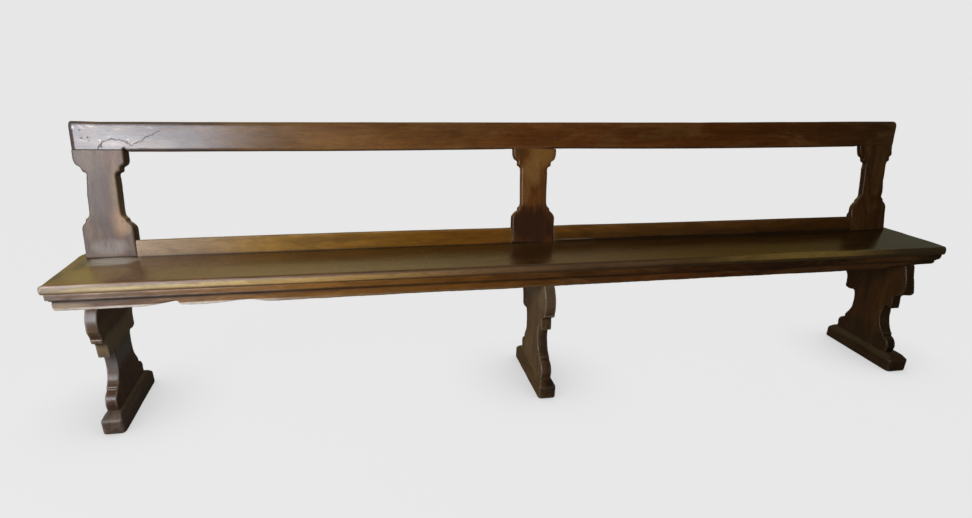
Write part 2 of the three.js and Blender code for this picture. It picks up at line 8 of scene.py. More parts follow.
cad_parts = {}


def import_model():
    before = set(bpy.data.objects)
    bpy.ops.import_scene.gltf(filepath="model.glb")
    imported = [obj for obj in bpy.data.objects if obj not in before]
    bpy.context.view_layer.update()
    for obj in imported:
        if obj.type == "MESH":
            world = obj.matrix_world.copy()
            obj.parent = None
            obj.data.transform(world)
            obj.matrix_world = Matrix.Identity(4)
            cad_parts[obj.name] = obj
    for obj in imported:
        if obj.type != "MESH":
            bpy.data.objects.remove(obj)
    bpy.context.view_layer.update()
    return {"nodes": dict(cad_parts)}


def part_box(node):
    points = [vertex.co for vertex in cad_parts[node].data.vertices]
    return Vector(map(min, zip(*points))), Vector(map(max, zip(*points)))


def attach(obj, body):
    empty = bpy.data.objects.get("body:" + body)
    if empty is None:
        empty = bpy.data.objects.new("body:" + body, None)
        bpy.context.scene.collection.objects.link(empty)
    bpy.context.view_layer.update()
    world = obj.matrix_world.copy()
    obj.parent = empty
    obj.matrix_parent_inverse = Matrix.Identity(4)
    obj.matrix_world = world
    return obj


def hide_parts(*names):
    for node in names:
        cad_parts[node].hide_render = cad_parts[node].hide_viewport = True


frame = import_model()

# Sizes in millimetres. Bench frame: X along the bench from its middle, Y back from the tip of the
# seat's front nose, Z up from the floor. The row frame's Y is moved by ROW_Y.
ROW_Y = -169.98
SEAT_TOP, SEAT_LENGTH, SEAT_DEPTH, SEAT_THICK = 480.0, 3055.0, 314.0, 24.5
SEAT_UNDER, SEAT_CORNER = SEAT_TOP - SEAT_THICK, 9.0
NOSE_TIP, NOSE_LOW, NOSE_ROUND, NOSE_UNDERCUT = SEAT_UNDER + 6.0, SEAT_UNDER - 4.5, 9.0, 3.0
FASCIA_TOP, FASCIA_BOTTOM, FASCIA_INSET, FASCIA_ARRIS = 450.7, 431.6, 3.5, 2.5
APRON_TOP, APRON_BOTTOM, APRON_INSET, APRON_RELIEF = 430.9, 398.4, 11.5, 5.0
MOULDING_BACK, MOULDING_END, END_WORN_FROM, APRON_CORNER = 34.0, 1522.0, 1440, 14
LEG_X, LEG_THICK, LEG_DEPTH, LEG_REACH, LEG_FOOT = 1407.0, 30.0, 317.5, 14.5, 64.3
LEG_MIDDLE, LEG_TENON = LEG_DEPTH * 0.45 - LEG_REACH, (8, 75)
LEG_SIDES = {"left": (-21, 15), "middle": (-18.5, 19.5), "right": (-22, 16)}
FOOT_FRONT, FOOT_BACK, FOOT_WIDTH, FOOT_HEIGHT, FOOT_ROUND = -47.5, 309.5, 60.0, 64.0, 13.0
BACK_Y, RAKE, BACK_THICK = 256.8, radians(13.42), 34.0
SPLAT_X, BLOCK_HALF, SHAFT_HALF, SPLAT_LEAN = 1404.0, 73.5, 42.0, radians(2.6)
RAIL_RISE, RAIL_TOP, LOW_RAIL_TOP, LOW_RAIL_THICK = 330.0, 420.5, 56.8, 28.0
TENON_FRONT, TENON_THICK, TENON_HALF, CLEARANCE, NAIL_SEAT = 11.5, 11.0, 46.0, 0.3, 1.8

VOXEL = 2.0
ROUNDS = 9

# Outlines, as stretches of thousandths of the piece's own sizes
LEG_FRONT = [
    ("curve", (2, 40), (1, 71), (18, 114), (46, 144), (78, 161)), ("line", (108, 168), (116, 201)),
    ("curve", (128, 201), (154, 219), (186, 249), (216, 306), (238, 387), (234, 453), (218, 504), (196, 527)),
    ("line", (114, 504), (121, 575), (134, 646), (28, 707)),
    ("curve", (10, 737), (1, 789), (6, 845), (25, 906), (62, 964), (94, 1000))]
LEG_BACK = [
    ("curve", (877, 30), (886, 65), (879, 99), (852, 127), (811, 145)), ("line", (801, 147), (797, 191)),
    ("curve", (772, 227), (744, 267), (725, 312), (721, 363), (725, 417), (735, 467), (749, 504), (775, 522)),
    ("curve", (820, 510), (872, 508), (910, 516), (924, 534), (926, 574), (935, 625)),
    ("curve", (948, 660), (975, 689), (992, 705), (1000, 730))]
LEG_SOLE = (0.013, 0.883)
SPLAT_EDGE = [
    ("line", (1000, 249)), ("curve", (975, 281), (850, 310), (620, 336)), ("line", (480, 341)),
    ("curve", (450, 355), (370, 379)), ("line", (240, 385)), ("curve", (90, 400), (0, 425)),
    ("line", (0, 782)), ("curve", (90, 802), (240, 812)), ("line", (440, 817)),
    ("curve", (530, 839), (560, 862)), ("line", (680, 868)), ("curve", (880, 881), (975, 896), (1000, 917))]
# The slopes of the feet's tops and the apron's moulded face, as shares
FOOT_SIDE = {0: 0.6, 0.07: 0.7, 0.34: 0.78, 0.42: 0.86, 1: 1}
FOOT_TOE = {0: 0.62, 0.06: 0.7, 0.24: 0.79, 0.6: 0.92, 1: 1}
FOOT_HEEL = {0: 0.4, 0.06: 0.53, 0.22: 0.68, 0.55: 0.86, 1: 1}
APRON_FACE = [
    (1, 0), (0.7, 0.05), (0.5, 0.16), (0.42, 0.36), (0.5, 0.55), (0.72, 0.7), (0.8, 0.84), (0.3, 0.86),
    (0, 0.9)]

# Hand-worked edges: how far each long edge strays from its straight line, at places along X
RAIL_TOP_STRAY = {
    -1477: 3.6, -1445: 2.8, -1390: 0.6, -1315: 0.5, -1093: -0.2, -783: -1, -285: -1.9, 258: -2.5, 648: -2.9,
    1063: -1.2, 1392: 0, 1477: 0}
RAIL_FOOT_STRAY = {
    -1477: 8.5, -1324: 6.5, -1318: 1.4, -1102: 0.5, -870: -0.7, -629: -1.9, -376: -1.8, -95: -0.5, -80: 0,
    90: 0, 115: -0.3, 162: -0.3, 450: -3.3, 751: -4.3, 1067: -3.4, 1322: -1.9, 1332: 0}
LOW_RAIL_STRAY = {
    -1330: -3.4, -1294: -3.1, -1139: -1.4, -898: -0.3, -647: 0.5, -386: -0.4, -113: -1.6, 60: 1.6, 172: 1.8,
    470: 0.1, 782: -0.1, 1109: 0.4, 1330: 0.4}
APRON_STRAY = {
    -1522: -2.5, -1400: -2.5, -1297: -1.8, -1275: -2.6, -1247: 0.3, -1210: 4.5, -1190: 8, -1175: 9.5,
    -1168: 9, -1163: 1, -1157: -1.3, -1106: -3.2, -1060: -2.4, -1033: 0, -990: 3.6, -965: 4.8, -945: 3.4,
    -915: -2.2, -886: -4.2, -811: -3.4, -735: -3.1, -657: -1.9, -579: -2.7, -499: -1.5, -337: -1.7,
    -170: -2.7, -60: -1.6, 90: -0.6, 362: 0.2, 647: 1, 945: 1, 1270: 1.5, 1340: 6, 1400: 9, 1440: 11,
    1480: 12.5, 1522: 14}
# How far the seat's right end strays, at places along Y
SEAT_END_STRAY = {0: 8, 42: 11, 84: 9.5, 127: 4.5, 171: -1, 216: -2, 264: -9, 314: -12}
# Where the mouldings' right front corner lies along X, at heights
MOULDING_CORNER = {
    411: 1489, 418: 1507, 424: 1516, 430.5: 1521, 431.2: 1511, 440: 1518, 448: 1523, 455: 1525}
# How far the left and the right edge of each splat stray, at heights up the slope
SPLAT_STRAY = {
    "left": (
        {0: -7, 49: -5.9, 87: -5.6, 105: -7.6, 124: -9.6, 161: -8.6, 198: -7.6, 216: -5.6, 235: -3.6,
         253: -1.7, 272: 3.6, 291: 1, 309: -3, 330: -2.3},
        {0: 6, 62: 4, 99: 4, 117: 1, 136: 3, 155: 2, 192: 3, 229: 4, 247: 3.6, 266: 1.4, 284: 0, 303: 5,
         330: 6.5}),
    "middle": (
        {0: -2, 93: -2.2, 115: 3.3, 136: -1.5, 158: -2.2, 201: -3.6, 265: -4, 287: 2.5, 308: -3.3,
         330: -4.4},
        {0: 6, 72: 6.9, 93: 8, 115: 5.5, 136: 6.9, 158: 5.5, 222: 6.2, 244: 6.6, 265: 4.7, 287: 0, 308: 4.7,
         330: 5.1}),
    "right": (
        {60: -10.5, 78: -10.3, 101: -7.5, 124: -3.3, 148: 0, 171: 1, 217: 2.3, 241: 2.3, 264: 7.5, 287: 8.9,
         311: 3.3, 330: 1},
        {0: -1, 72: -2.8, 101: -1, 124: 0, 148: 8, 171: 8, 194: 6.1, 217: 8.5, 241: 9.9, 264: 11, 287: 3.8,
         311: 0}),
}
# How far each leg's front strays at heights, whether on its right face alone, and how deep that reaches
LEG_STRAY = {
    "left": ({236: 0, 250: -2, 266: -5, 280: -10, 292: -10, 300: 0, 306: 7, 314: 8, 325: 4,
             335: 0}, False, (10, 60)),
    "middle": ({278: 0, 285: -12, 296: -12, 304: 0}, False, (30, 80)),
    "right": ({110: 0, 150: -12, 205: -12, 230: 0, 280: 0, 292: 5, 299: -9, 312: -12, 330: -3.5, 348: 1,
              366: 4, 384: 0, 398: -3}, True, (40, 110)),
}


# Numbers

def ramp_at(table, at):
    return np.interp(at, list(table), list(table.values()))


def smooth(low, high, value):
    t = np.clip((np.asarray(value, float) - low) / (high - low), 0, 1)
    return t * t * (3 - 2 * t)


def noise(x, y, z, cell, seed):
    """Smooth noise from -1 to 1 at points in space, from a seeded lattice."""
    lattice = np.random.RandomState(seed).uniform(-1, 1, (32, 32, 32))
    at = np.stack(np.broadcast_arrays(x, y, z), 1) / cell
    base = np.floor(at).astype(int)
    f = at - base
    f = f * f * (3 - 2 * f)
    out = 0
    for corner in np.ndindex(2, 2, 2):
        w = np.where(corner, f, 1 - f)
        out = out + w[:, 0] * w[:, 1] * w[:, 2] * lattice[tuple((base + corner).T % 32)]
    return out


def on_points(change):
    """Turns a function of x, y and z into one of an array of points."""
    def changed(points):
        return np.stack(np.broadcast_arrays(*change(*np.asarray(points, float).T)), 1)
    return changed


# Outlines

def spline(points, steps):
    last = len(points) - 1
    out = []
    for i in range(last):
        a, b, c, d = (np.array(points[max(0, min(last, k))], float) for k in (i - 1, i, i + 1, i + 2))
        for s in range(1, steps + 1):
            t = s / steps
            v0, v1 = (c - a) / 2, (d - b) / 2
            out.append((2 * b - 2 * c + v0 + v1) * t ** 3
                       + (3 * c - 3 * b - 2 * v0 - v1) * t ** 2 + v0 * t + b)
    return out


def edge(start, stretches, place):
    """Points from start along the stretches, whose thousandths place turns into points."""
    points = [np.array(start, float)]
    for kind, *shares in stretches:
        to = [np.array(place(a / 1000, b / 1000), float) for a, b in shares]
        points += spline([points[-1]] + to, 8) if kind == "curve" else to
    return points


@on_points
def back_to_bench(x, y, z):
    """Points of the back frame (X, into the wood, up the slope) in the bench frame."""
    c, s = cos(RAKE), sin(RAKE)
    return x, BACK_Y + y * c + z * s, SEAT_TOP - y * s + z * c


def in_the_back(change):
    """on_points for points of the back frame, which then go to the bench frame."""
    return lambda points: back_to_bench(on_points(change)(points))


# Meshes

def row(points):
    return (np.asarray(points, float) + (0, ROW_Y, 0)) / 1000


def paint(me, key, values):
    if values is not None:
        me.attributes.new(key, "FLOAT", "POINT").data.foreach_set("value", np.asarray(values, np.float32))


def mesh_object(name, verts, faces, wear=None, crack_and_glint=None):
    """A mesh in the row frame from bench points in millimetres, its faces pointing out."""
    me = bpy.data.meshes.new(name)
    me.from_pydata(row(verts).tolist(), [], [list(map(int, f)) for f in faces])
    bm = bmesh.new()
    bm.from_mesh(me)
    bmesh.ops.recalc_face_normals(bm, faces=bm.faces)
    bm.to_mesh(me)
    bm.free()
    me.update()
    ob = bpy.data.objects.new(name, me)
    bpy.context.scene.collection.objects.link(ob)
    paint(me, "wear", wear)
    paint(me, "crack_and_glint", crack_and_glint)
    return ob


def applied(ob):
    """The object's mesh with its modifiers applied."""
    me = bpy.data.meshes.new_from_object(ob.evaluated_get(bpy.context.evaluated_depsgraph_get()))
    old = ob.data
    ob.modifiers.clear()
    ob.data = me
    bpy.data.meshes.remove(old)
    return me


def skin(rings, n, closed=True):
    """Faces between rings of n points, and over the first and the last ring."""
    faces = [(k * n + i, k * n + (i + 1) % n, (k + 1) * n + (i + 1) % n, (k + 1) * n + i)
             for k in range(rings - 1) for i in range(n if closed else n - 1)]
    return faces + [tuple(range(n))[::-1], tuple((rings - 1) * n + i for i in range(n))]


def prism(outline, low, high, axis):
    """Vertices and faces of an outline pushed from low to high along an axis: 0 is X, 1 is Y and 2 is Z."""
    verts = [(*p[:axis], level, *p[axis:]) for level in (low, high) for p in outline]
    return verts, skin(2, len(outline))


def block(low, high):
    (x0, y0, z0), (x1, y1, z1) = low, high
    return prism([(x0, z0), (x1, z0), (x1, z1), (x0, z1)], y0, y1, 1)


def disc(x, y, low, high, radius):
    turns = np.linspace(0, 2 * pi, 17)[:-1]
    return prism([(x + radius * cos(t), y + radius * sin(t)) for t in turns], low, high, 2)


def together(bodies):
    verts, faces = [], []
    for v, f in bodies:
        faces += [[len(verts) + i for i in one] for one in f]
        verts += [tuple(p) for p in v]
    return verts, faces


def carve(ob, bodies):
    """Cuts closed bodies out of an object."""
    tool = mesh_object(ob.name + "_cut", *together(bodies))
    cut = ob.modifiers.new("cut", "BOOLEAN")
    cut.operation = "DIFFERENCE"
    cut.solver = "EXACT"
    cut.object = tool
    applied(ob)
    bpy.data.objects.remove(tool)


def shade_smooth(me, angle):
    for poly in me.polygons:
        poly.use_smooth = True
    if angle:
        me.set_sharp_from_angle(angle=radians(angle))


def worn_solid(name, bodies, rounds, shape=None, place=None, front=None, joint=None):
    """Closed bodies joined by a voxel remesh, with the arrises rubbed round by smoothing.
    front(points) says how much, shape(points) moves the finished points, place puts them in the bench frame,
    and joint(points) is 1 in the dark line of a joint."""
    ob = mesh_object(name, *together(bodies))
    remesh = ob.modifiers.new("remesh", "REMESH")
    remesh.mode = "VOXEL"
    remesh.voxel_size = VOXEL / 1000
    me = applied(ob)
    n = len(me.vertices)
    p = np.empty(n * 3)
    me.vertices.foreach_get("co", p)
    p = p.reshape(n, 3) * 1000 - (0, ROW_Y, 0)
    ends = np.empty(len(me.edges) * 2, int)
    me.edges.foreach_get("vertices", ends)
    a, b = ends.reshape(-1, 2).T
    both = np.r_[a, b]
    degree = np.bincount(both, minlength=n)[:, None]

    def around(q):
        return np.stack([np.bincount(both, weights=np.r_[column[b], column[a]], minlength=n)
                         for column in q.T], 1) / degree

    more = front(p)[:, None] if front else 0.5
    for _ in range(rounds):
        p = p + more * (around(p) - p)
    if shape:
        p = shape(p)
    if joint:
        paint(me, "crack_and_glint", joint(p))
    if place:
        p = place(p)
    me.vertices.foreach_set("co", row(p).ravel())
    me.update()
    normals = np.empty(n * 3)
    me.vertex_normals.foreach_get("vector", normals)
    normals = normals.reshape(n, 3)
    gap = p[b] - p[a]
    bend = ((normals[b] - normals[a]) * gap).sum(1) / np.maximum((gap ** 2).sum(1), 0.2)
    wear = np.bincount(both, weights=np.r_[bend, bend], minlength=n)[:, None] / degree
    for _ in range(3):
        wear = 0.5 * wear + 0.5 * around(wear)
    paint(me, "wear", np.clip(wear[:, 0] * 9, -1, 1))
    return ob


def turns(before, after):
    cross = before[:, 0] * after[:, 1] - before[:, 1] * after[:, 0]
    return np.arctan2(cross, (before * after).sum(1))


def worn_turns(points, turn, reach, full):
    """The wear of a profile's points from the turns within reach. full degrees of turn wear most."""
    gaps = np.linalg.norm(points[:, None] - points[None], axis=2)
    return np.clip((np.exp(-(gaps / reach) ** 2) * turn[None]).sum(1) / radians(full), -1, 1)


def dense(profile, step):
    """A closed profile with points no further apart than step, and each point's wear from how it turns."""
    out = []
    for i, corner in enumerate(profile):
        a, b = np.array(corner, float), np.array(profile[(i + 1) % len(profile)], float)
        count = max(1, ceil(np.linalg.norm(b - a) / step))
        out += [a + (b - a) * k / count for k in range(count)]
    out = np.array(out)
    before, after = np.roll(out, 1, 0), np.roll(out, -1, 0)
    turn = turns(out - before, after - out)
    turn = turn * np.sign((out[:, 0] * after[:, 1] - out[:, 1] * after[:, 0]).sum())
    return out, worn_turns(out, turn, 3.2, 75)


def rounded(profile, cuts):
    """A closed profile whose corner i is rounded by cuts[i] millimetres."""
    out = []
    n = len(profile)
    for i, corner in enumerate(profile):
        p = np.array(corner, float)
        cut = cuts[i] if i < len(cuts) else 0
        if not cut:
            out.append(p)
            continue
        to = [np.array(profile[(i + k) % n], float) - p for k in (-1, 1)]
        a, b = (p + t / np.linalg.norm(t) * min(cut, np.linalg.norm(t) * 0.45) for t in to)
        out += [(1 - t) ** 2 * a + 2 * t * (1 - t) * p + t ** 2 * b for t in np.linspace(0, 1, 6)]
    return [tuple(q) for q in out]


def loft(name, profile, stations, place, step=2.5, shape=None, crack_and_glint=None):
    """A closed profile carried along stations. place(u, v, s) gives its x, y and z at station s."""
    ring, ring_wear = dense(profile, step)
    n = len(ring)
    points = np.concatenate([np.stack(np.broadcast_arrays(*place(*ring.T, s)), 1) for s in stations])
    wear = np.tile(ring_wear, len(stations))
    for end in (slice(n), slice(-n, None)):
        wear[end] = np.maximum(wear[end], 0.7)
    cracked = None
    if crack_and_glint:
        points, cracked = crack_and_glint(points)
    if shape:
        points = shape(points)
    return mesh_object(name, points, skin(len(stations), n), wear, cracked)


def spread(low, high, step, extra=()):
    """Stations from low to high, with finer runs given as (from, to, step)."""
    places = list(np.arange(low, high, step)) + [high]
    for run in extra:
        places += list(np.arange(*run))
    places = sorted(set(round(p, 3) for p in places if low <= p <= high))
    out = [places[0]]
    for p in places[1:]:
        if p - out[-1] > 0.4:
            out.append(p)
    return out


# Shader graphs

def maths(kind):
    return lambda self, other: self.graph.math(kind, self, other)


class Wire:
    """A value in a shader graph. Sums, products and powers of it are nodes of the graph."""

    def __init__(self, graph, socket):
        self.graph, self.socket = graph, socket

    __add__, __sub__, __mul__, __truediv__, __pow__ = map(
        maths, ("ADD", "SUBTRACT", "MULTIPLY", "DIVIDE", "POWER"))


def rgba(value):
    """A colour from its three channels in thousandths, or a grey from one share."""
    return (*(v / 1000 for v in value), 1) if isinstance(value, tuple) else (value, value, value, 1)


class Graph:
    def __init__(self, name, tree=None):
        if tree is None:
            self.mat = bpy.data.materials.new(name)
            self.mat.use_nodes = True
            tree = self.mat.node_tree
            self.bsdf = tree.nodes["Principled BSDF"]
        self.tree = tree

    def fill(self, node, inputs):
        for key, value in dict(inputs).items():
            if isinstance(value, Wire):
                self.tree.links.new(value.socket, node.inputs[key])
            else:
                node.inputs[key].default_value = value
        return node

    def add(self, kind, inputs=(), **props):
        node = self.tree.nodes.new(kind)
        for key, value in props.items():
            setattr(node, key, value)
        return self.fill(node, inputs)

    def out(self, kind, inputs=(), pick=0, **props):
        return Wire(self, self.add(kind, inputs, **props).outputs[pick])

    def split(self, vector):
        return [Wire(self, part) for part in self.add("ShaderNodeSeparateXYZ", {0: vector}).outputs]

    def math(self, operation, a, b=0, clamp=False):
        return self.out("ShaderNodeMath", {0: a, 1: b}, operation=operation, use_clamp=clamp)

    def mix(self, factor, a, b, blend="MIX"):
        a, b = (v if isinstance(v, Wire) else rgba(v) for v in (a, b))
        return self.out("ShaderNodeMix", {0: factor, 6: a, 7: b}, 2, data_type="RGBA", blend_type=blend)

    def between(self, value, low, high, to_low=0, to_high=1):
        return self.out("ShaderNodeMapRange", {0: value, 1: low, 2: high, 3: to_low, 4: to_high})

    def noise(self, vector, scale, detail=3, rough=0.55, distortion=0):
        return self.out("ShaderNodeTexNoise", {
            "Vector": vector, "Scale": scale, "Detail": detail, "Roughness": rough, "Distortion": distortion})

    def ramp(self, factor, stops):
        node = self.add("ShaderNodeValToRGB", {0: factor})
        elements = node.color_ramp.elements
        while len(elements) < len(stops):
            elements.new(0.5)
        for element, (place, colour) in zip(elements, stops):
            element.position = place
            element.color = rgba(colour)
        return Wire(self, node.outputs[0])

    def along(self, at, stops, part=1):
        """A ramp along the bench, from stops given as (x in metres, colour or share, ...)."""
        return self.ramp(at, [((stop[0] + REACH) / (2 * REACH), stop[part]) for stop in stops])


# The ramps along the bench reach this far from its middle, in metres
REACH = 1.53
# The grain's turn about X, and its stretch
GRAIN_ALONG = {"x": (0, (0.05, 1, 1)), "y": (0, (1, 0.05, 1)),
               "z": (0, (1, 1, 0.06)), "slope": (RAKE, (1, 1, 0.06))}


def wood(name, along, tones, wear_and_light, rough=0.36, spec=0.4, seed=0.0, wear_amount=0.8, mottle=0.2,
         golden=None, rubbed_and_lit_band=None, stains_and_light=(), flat=False, front_shade=None, painted_shade=None, line=None, bump=0.32):
    """Old waxed walnut. tones are (x, dark, light) along the bench and wear_and_light is (x, rubbed colour,
    how much);
    the rubbed colour holds painted shade on some arrises and painted highlights on others.
    golden is a warm patch colour with its strength. stains_and_light are (x, z, radius x, radius z, colour,
    strength) in millimetres, with y for z on a flat board: stains, and patches of painted light and shade.
    rubbed_and_lit_band is where the rim is rubbed and carries a painted highlight, in metres: inwards from
    all to none, then upwards.
    front_shade is how dark the faces to the front are painted, a painted shade, as (x, share) stops.
    painted_shade is the heights in millimetres from none to all of a further darkening, painted shade, with
    its stops. line is the heights of a dark line, with its stops: a dark joint on the low rails and painted
    shadow under the fascia."""
    g = Graph(name)
    coords = g.out("ShaderNodeTexCoord", pick="Object")
    turn, stretch = GRAIN_ALONG[along]
    turned = g.out("ShaderNodeMapping", {"Vector": coords, "Rotation": (turn, 0, 0)})
    place = (seed, seed * 0.7, seed * 1.3)
    grained = g.out("ShaderNodeMapping", {"Vector": turned, "Scale": stretch, "Location": place})
    short = tuple(k ** 0.42 for k in stretch)
    mottled = g.out("ShaderNodeMapping", {"Vector": turned, "Scale": short, "Location": place})
    x, y, z = g.split(coords)

    def rise(low, high, *to):
        return g.between(z, low / 1000, high / 1000, *to)

    figure = g.noise(grained, 16, 3, 0.55, 0.7)
    streak = g.noise(grained, 95, 4, 0.62, 0.3)
    fine = g.noise(grained, 420, 3, 0.6)
    pores = g.between(g.noise(grained, 900, 2, 0.5), 0.56, 0.68)
    cloud = g.noise(mottled, 7, 3, 0.6, 0.6)
    blotch = g.noise(mottled, 30, 4, 0.62, 1.1)
    specks = g.noise(coords, 160, 2, 0.5)

    tone = g.between(figure * 0.5 + streak * 0.34 + fine * 0.16, 0.33, 0.67)
    at = g.between(x + g.between(cloud, 0.3, 0.7, -0.07, 0.07), -REACH, REACH)
    colour = g.mix(tone, g.along(at, tones), g.along(at, tones, 2))
    if golden:
        patch = g.between(g.noise(mottled, 13, 3, 0.55, 1.4), 0.46, 0.62, 0, golden[1])
        colour = g.mix(patch, colour, golden[0])
    shade = (g.between(blotch, 0.34, 0.66, 1 - mottle, 1 + mottle)
             * g.between(cloud, 0.32, 0.68, 1 - 0.6 * mottle, 1 + 0.6 * mottle))
    colour = g.mix(1, colour, shade, "MULTIPLY")
    # stains, and patches of painted light and shade
    for *spot, spot_colour, strength in stains_and_light:
        x0, z0, wide, high = (v / 1000 for v in spot)
        off = ((x - x0) / wide) ** 2 + (((y if flat else z) - z0) / high) ** 2
        off = off + g.between(blotch, 0.3, 0.7, -0.5, 0.5)
        colour = g.mix(g.between(off, 0.35, 1.5, strength, 0), colour, spot_colour)

    # painted shade: faces turned to the front are darkened by these stops
    if front_shade:
        face = g.split(g.out("ShaderNodeNewGeometry", pick="Normal"))[1]
        dark = g.mix(1, colour, g.along(at, front_shade), "MULTIPLY")
        colour = g.mix(g.between(face, -0.35, -0.8), colour, dark)
    # painted shade: darker over the given heights, by stops along the bench
    if painted_shade:
        dark = g.mix(1, colour, g.along(at, painted_shade[2]), "MULTIPLY")
        colour = g.mix(rise(*painted_shade[:2]), colour, dark)
    # a dark line: a dark joint on the low rails, and painted shadow under the fascia's overhang on the
    # mouldings
    if line:
        dark = rise(*line[:2]) * rise(*line[2:4], 1, 0) * g.along(at, line[4])
        colour = g.mix(dark, colour, (10, 5, 2))

    wear_and_light_colour = g.along(at, wear_and_light)
    wear_and_light_share = g.along(at, wear_and_light, 2)
    uneven = g.between(cloud, 0.34, 0.62, 0.5, 1) * g.between(blotch, 0.35, 0.6, 0.45, 1)
    # the rubbed band: wear, and a painted highlight along the seat's nose and the apron's bottom edge
    if rubbed_and_lit_band:
        inwards = y + g.between(blotch, 0.3, 0.7, -0.002, 0.003)
        if flat:
            inwards = inwards - g.between(x, 0.5, 0.95, 0, 0.014)
        rim = g.between(inwards, rubbed_and_lit_band[0], rubbed_and_lit_band[1], 1, 0)
        level = z
        if flat:
            level = z - g.between(x, -0.6, 0.9, 0, 0.012) + g.between(x, -1.35, -1, 0.004, 0)
            rim = rim * g.between(level, rubbed_and_lit_band[4], rubbed_and_lit_band[5])
            level = z - g.between(x, -0.6, 0.4, 0, 0.0065) - g.between(x, -1.1, -0.8, 0.002, 0)
        rim = rim * g.between(level, rubbed_and_lit_band[2], rubbed_and_lit_band[3])
        rim = rim * (g.between(blotch, 0.36, 0.6, 0.65, 1) * wear_and_light_share)
        colour = g.mix(rim, colour, wear_and_light_colour)
    wear = g.out("ShaderNodeAttribute", pick="Fac", attribute_name="wear")
    rubbed = g.between(wear, 0.12, 0.75) * uneven * g.between(streak, 0.35, 0.6, 0.6, 1)
    rubbed = g.math("MULTIPLY", rubbed * wear_and_light_share, wear_amount, clamp=True)
    crack_and_glint = g.out("ShaderNodeAttribute", pick="Fac", attribute_name="crack_and_glint")
    hollow, dirt = g.between(wear, -0.05, -0.5, 0, 0.5), g.between(specks, 0.66, 0.74) * 0.35
    # negative values of the crack attribute paint pale glints, painted highlights
    for share, over in ((rubbed, wear_and_light_colour), (hollow, (12, 6, 3)), (pores * 0.42, (20, 10, 5)),
                        (dirt, (15, 8, 4)), (g.between(crack_and_glint, 0, 0.8), (5, 3, 2)),
                        (g.between(crack_and_glint, 0, -0.9), (800, 740, 720))):
        colour = g.mix(share, colour, over)

    dull = g.between(cloud, 0.3, 0.72, rough - 0.05, rough + 0.09) + g.between(fine, 0.3, 0.7, -0.03, 0.05)
    dull = dull + g.between(at, 0.3, 0.7, 0, -0.05)
    if flat:
        dull = dull + g.between(y, -0.157, -0.167, 0, 0.22)
    dull = g.math("ADD", dull, g.math("ABSOLUTE", crack_and_glint) * 0.4, clamp=True)
    height = streak * 0.5 + fine * 0.28 - pores * 0.3 + g.noise(coords, 26, 3, 0.6) * 0.7
    g.fill(g.bsdf, {
        "Base Color": colour, "Roughness": dull,
        "Specular IOR Level": g.along(at, spec) if isinstance(spec, list) else spec,
        "Normal": g.out("ShaderNodeBump", {"Height": height, "Strength": bump, "Distance": 0.0006})})
    return g.mat


def iron():
    g = Graph("forged_iron")
    coords = g.out("ShaderNodeTexCoord", pick="Object")
    scale = g.noise(coords, 700, 4, 0.6)
    rust = g.noise(coords, 260, 3, 0.6)
    g.fill(g.bsdf, {
        "Base Color": g.ramp(rust, [(0.35, (35, 30, 27)), (0.72, (85, 42, 22))]), "Metallic": 0.8,
        "Roughness": g.between(scale, 0.3, 0.7, 0.45, 0.75),
        "Normal": g.out("ShaderNodeBump", {"Height": scale, "Strength": 0.5, "Distance": 0.0004})})
    return g.mat


# Tones and rubbed colours of each kind of piece, along the bench. The rubbed colours of the splats and
# the top rail are dark at the left end, painted shade on the arrises; those of the seat and the mouldings
# also hold painted highlights.
WEAR_AND_SHADE = [
    (-1.5, (45, 33, 25), 0.95), (-1.3, (60, 45, 30), 0.9), (-0.7, (220, 130, 50), 0.5),
    (0, (150, 90, 40), 0.4), (1.45, (90, 50, 22), 0.35)]
RAIL_WEAR_AND_SHADE = [
    (-1.5, (40, 40, 28), 1), (-1.35, (55, 48, 36), 1), (-1.2, (160, 130, 100), 0.8),
    (-0.7, (260, 170, 90), 0.6), (0, (170, 110, 60), 0.5), (1.45, (90, 50, 22), 0.35)]
LOW_WORN = [
    (-1.4, (300, 240, 170), 0.9), (-0.4, (280, 190, 100), 0.7), (0.05, (250, 170, 80), 0.6),
    (0.1, (170, 120, 70), 0.7), (1.4, (70, 50, 25), 0.6)]
BACK = [
    (-1.45, (54, 36, 28), (118, 84, 66)), (-1.05, (75, 32, 12), (170, 80, 32)),
    (-0.75, (92, 36, 7), (200, 90, 20)), (0, (62, 17, 2), (140, 43, 5)), (0.9, (42, 10, 0.4), (110, 28, 1)),
    (1.46, (16, 6, 1), (44, 16, 3))]
RAIL = [
    (-1.45, (30, 22, 24), (58, 44, 50)), (-1.15, (35, 22, 19), (68, 46, 41)),
    (-1.05, (75, 38, 18), (140, 76, 38)), (-0.9, (85, 38, 9), (175, 85, 24))]
RAIL += BACK[2:]
LOW = [
    (-1.35, (140, 86, 45), (280, 190, 105)), (-0.95, (130, 60, 4), (280, 145, 12)),
    (-0.3, (95, 33, 1), (210, 82, 3)), (0.3, (62, 22, 2), (150, 58, 5)), (1.3, (26, 8, 0.5), (72, 24, 2))]
SEAT = [
    (-1.5, (88, 42, 12), (165, 82, 27)), (-1.25, (64, 27, 7), (120, 54, 16)),
    (-0.9, (49, 20, 3.5), (96, 40, 9)), (-0.35, (40, 16, 3), (78, 33, 7)), (0.1, (30, 13, 3), (62, 29, 8)),
    (0.5, (20, 7, 1), (43, 17, 2)), (1.5, (16, 7, 1), (36, 16, 3))]
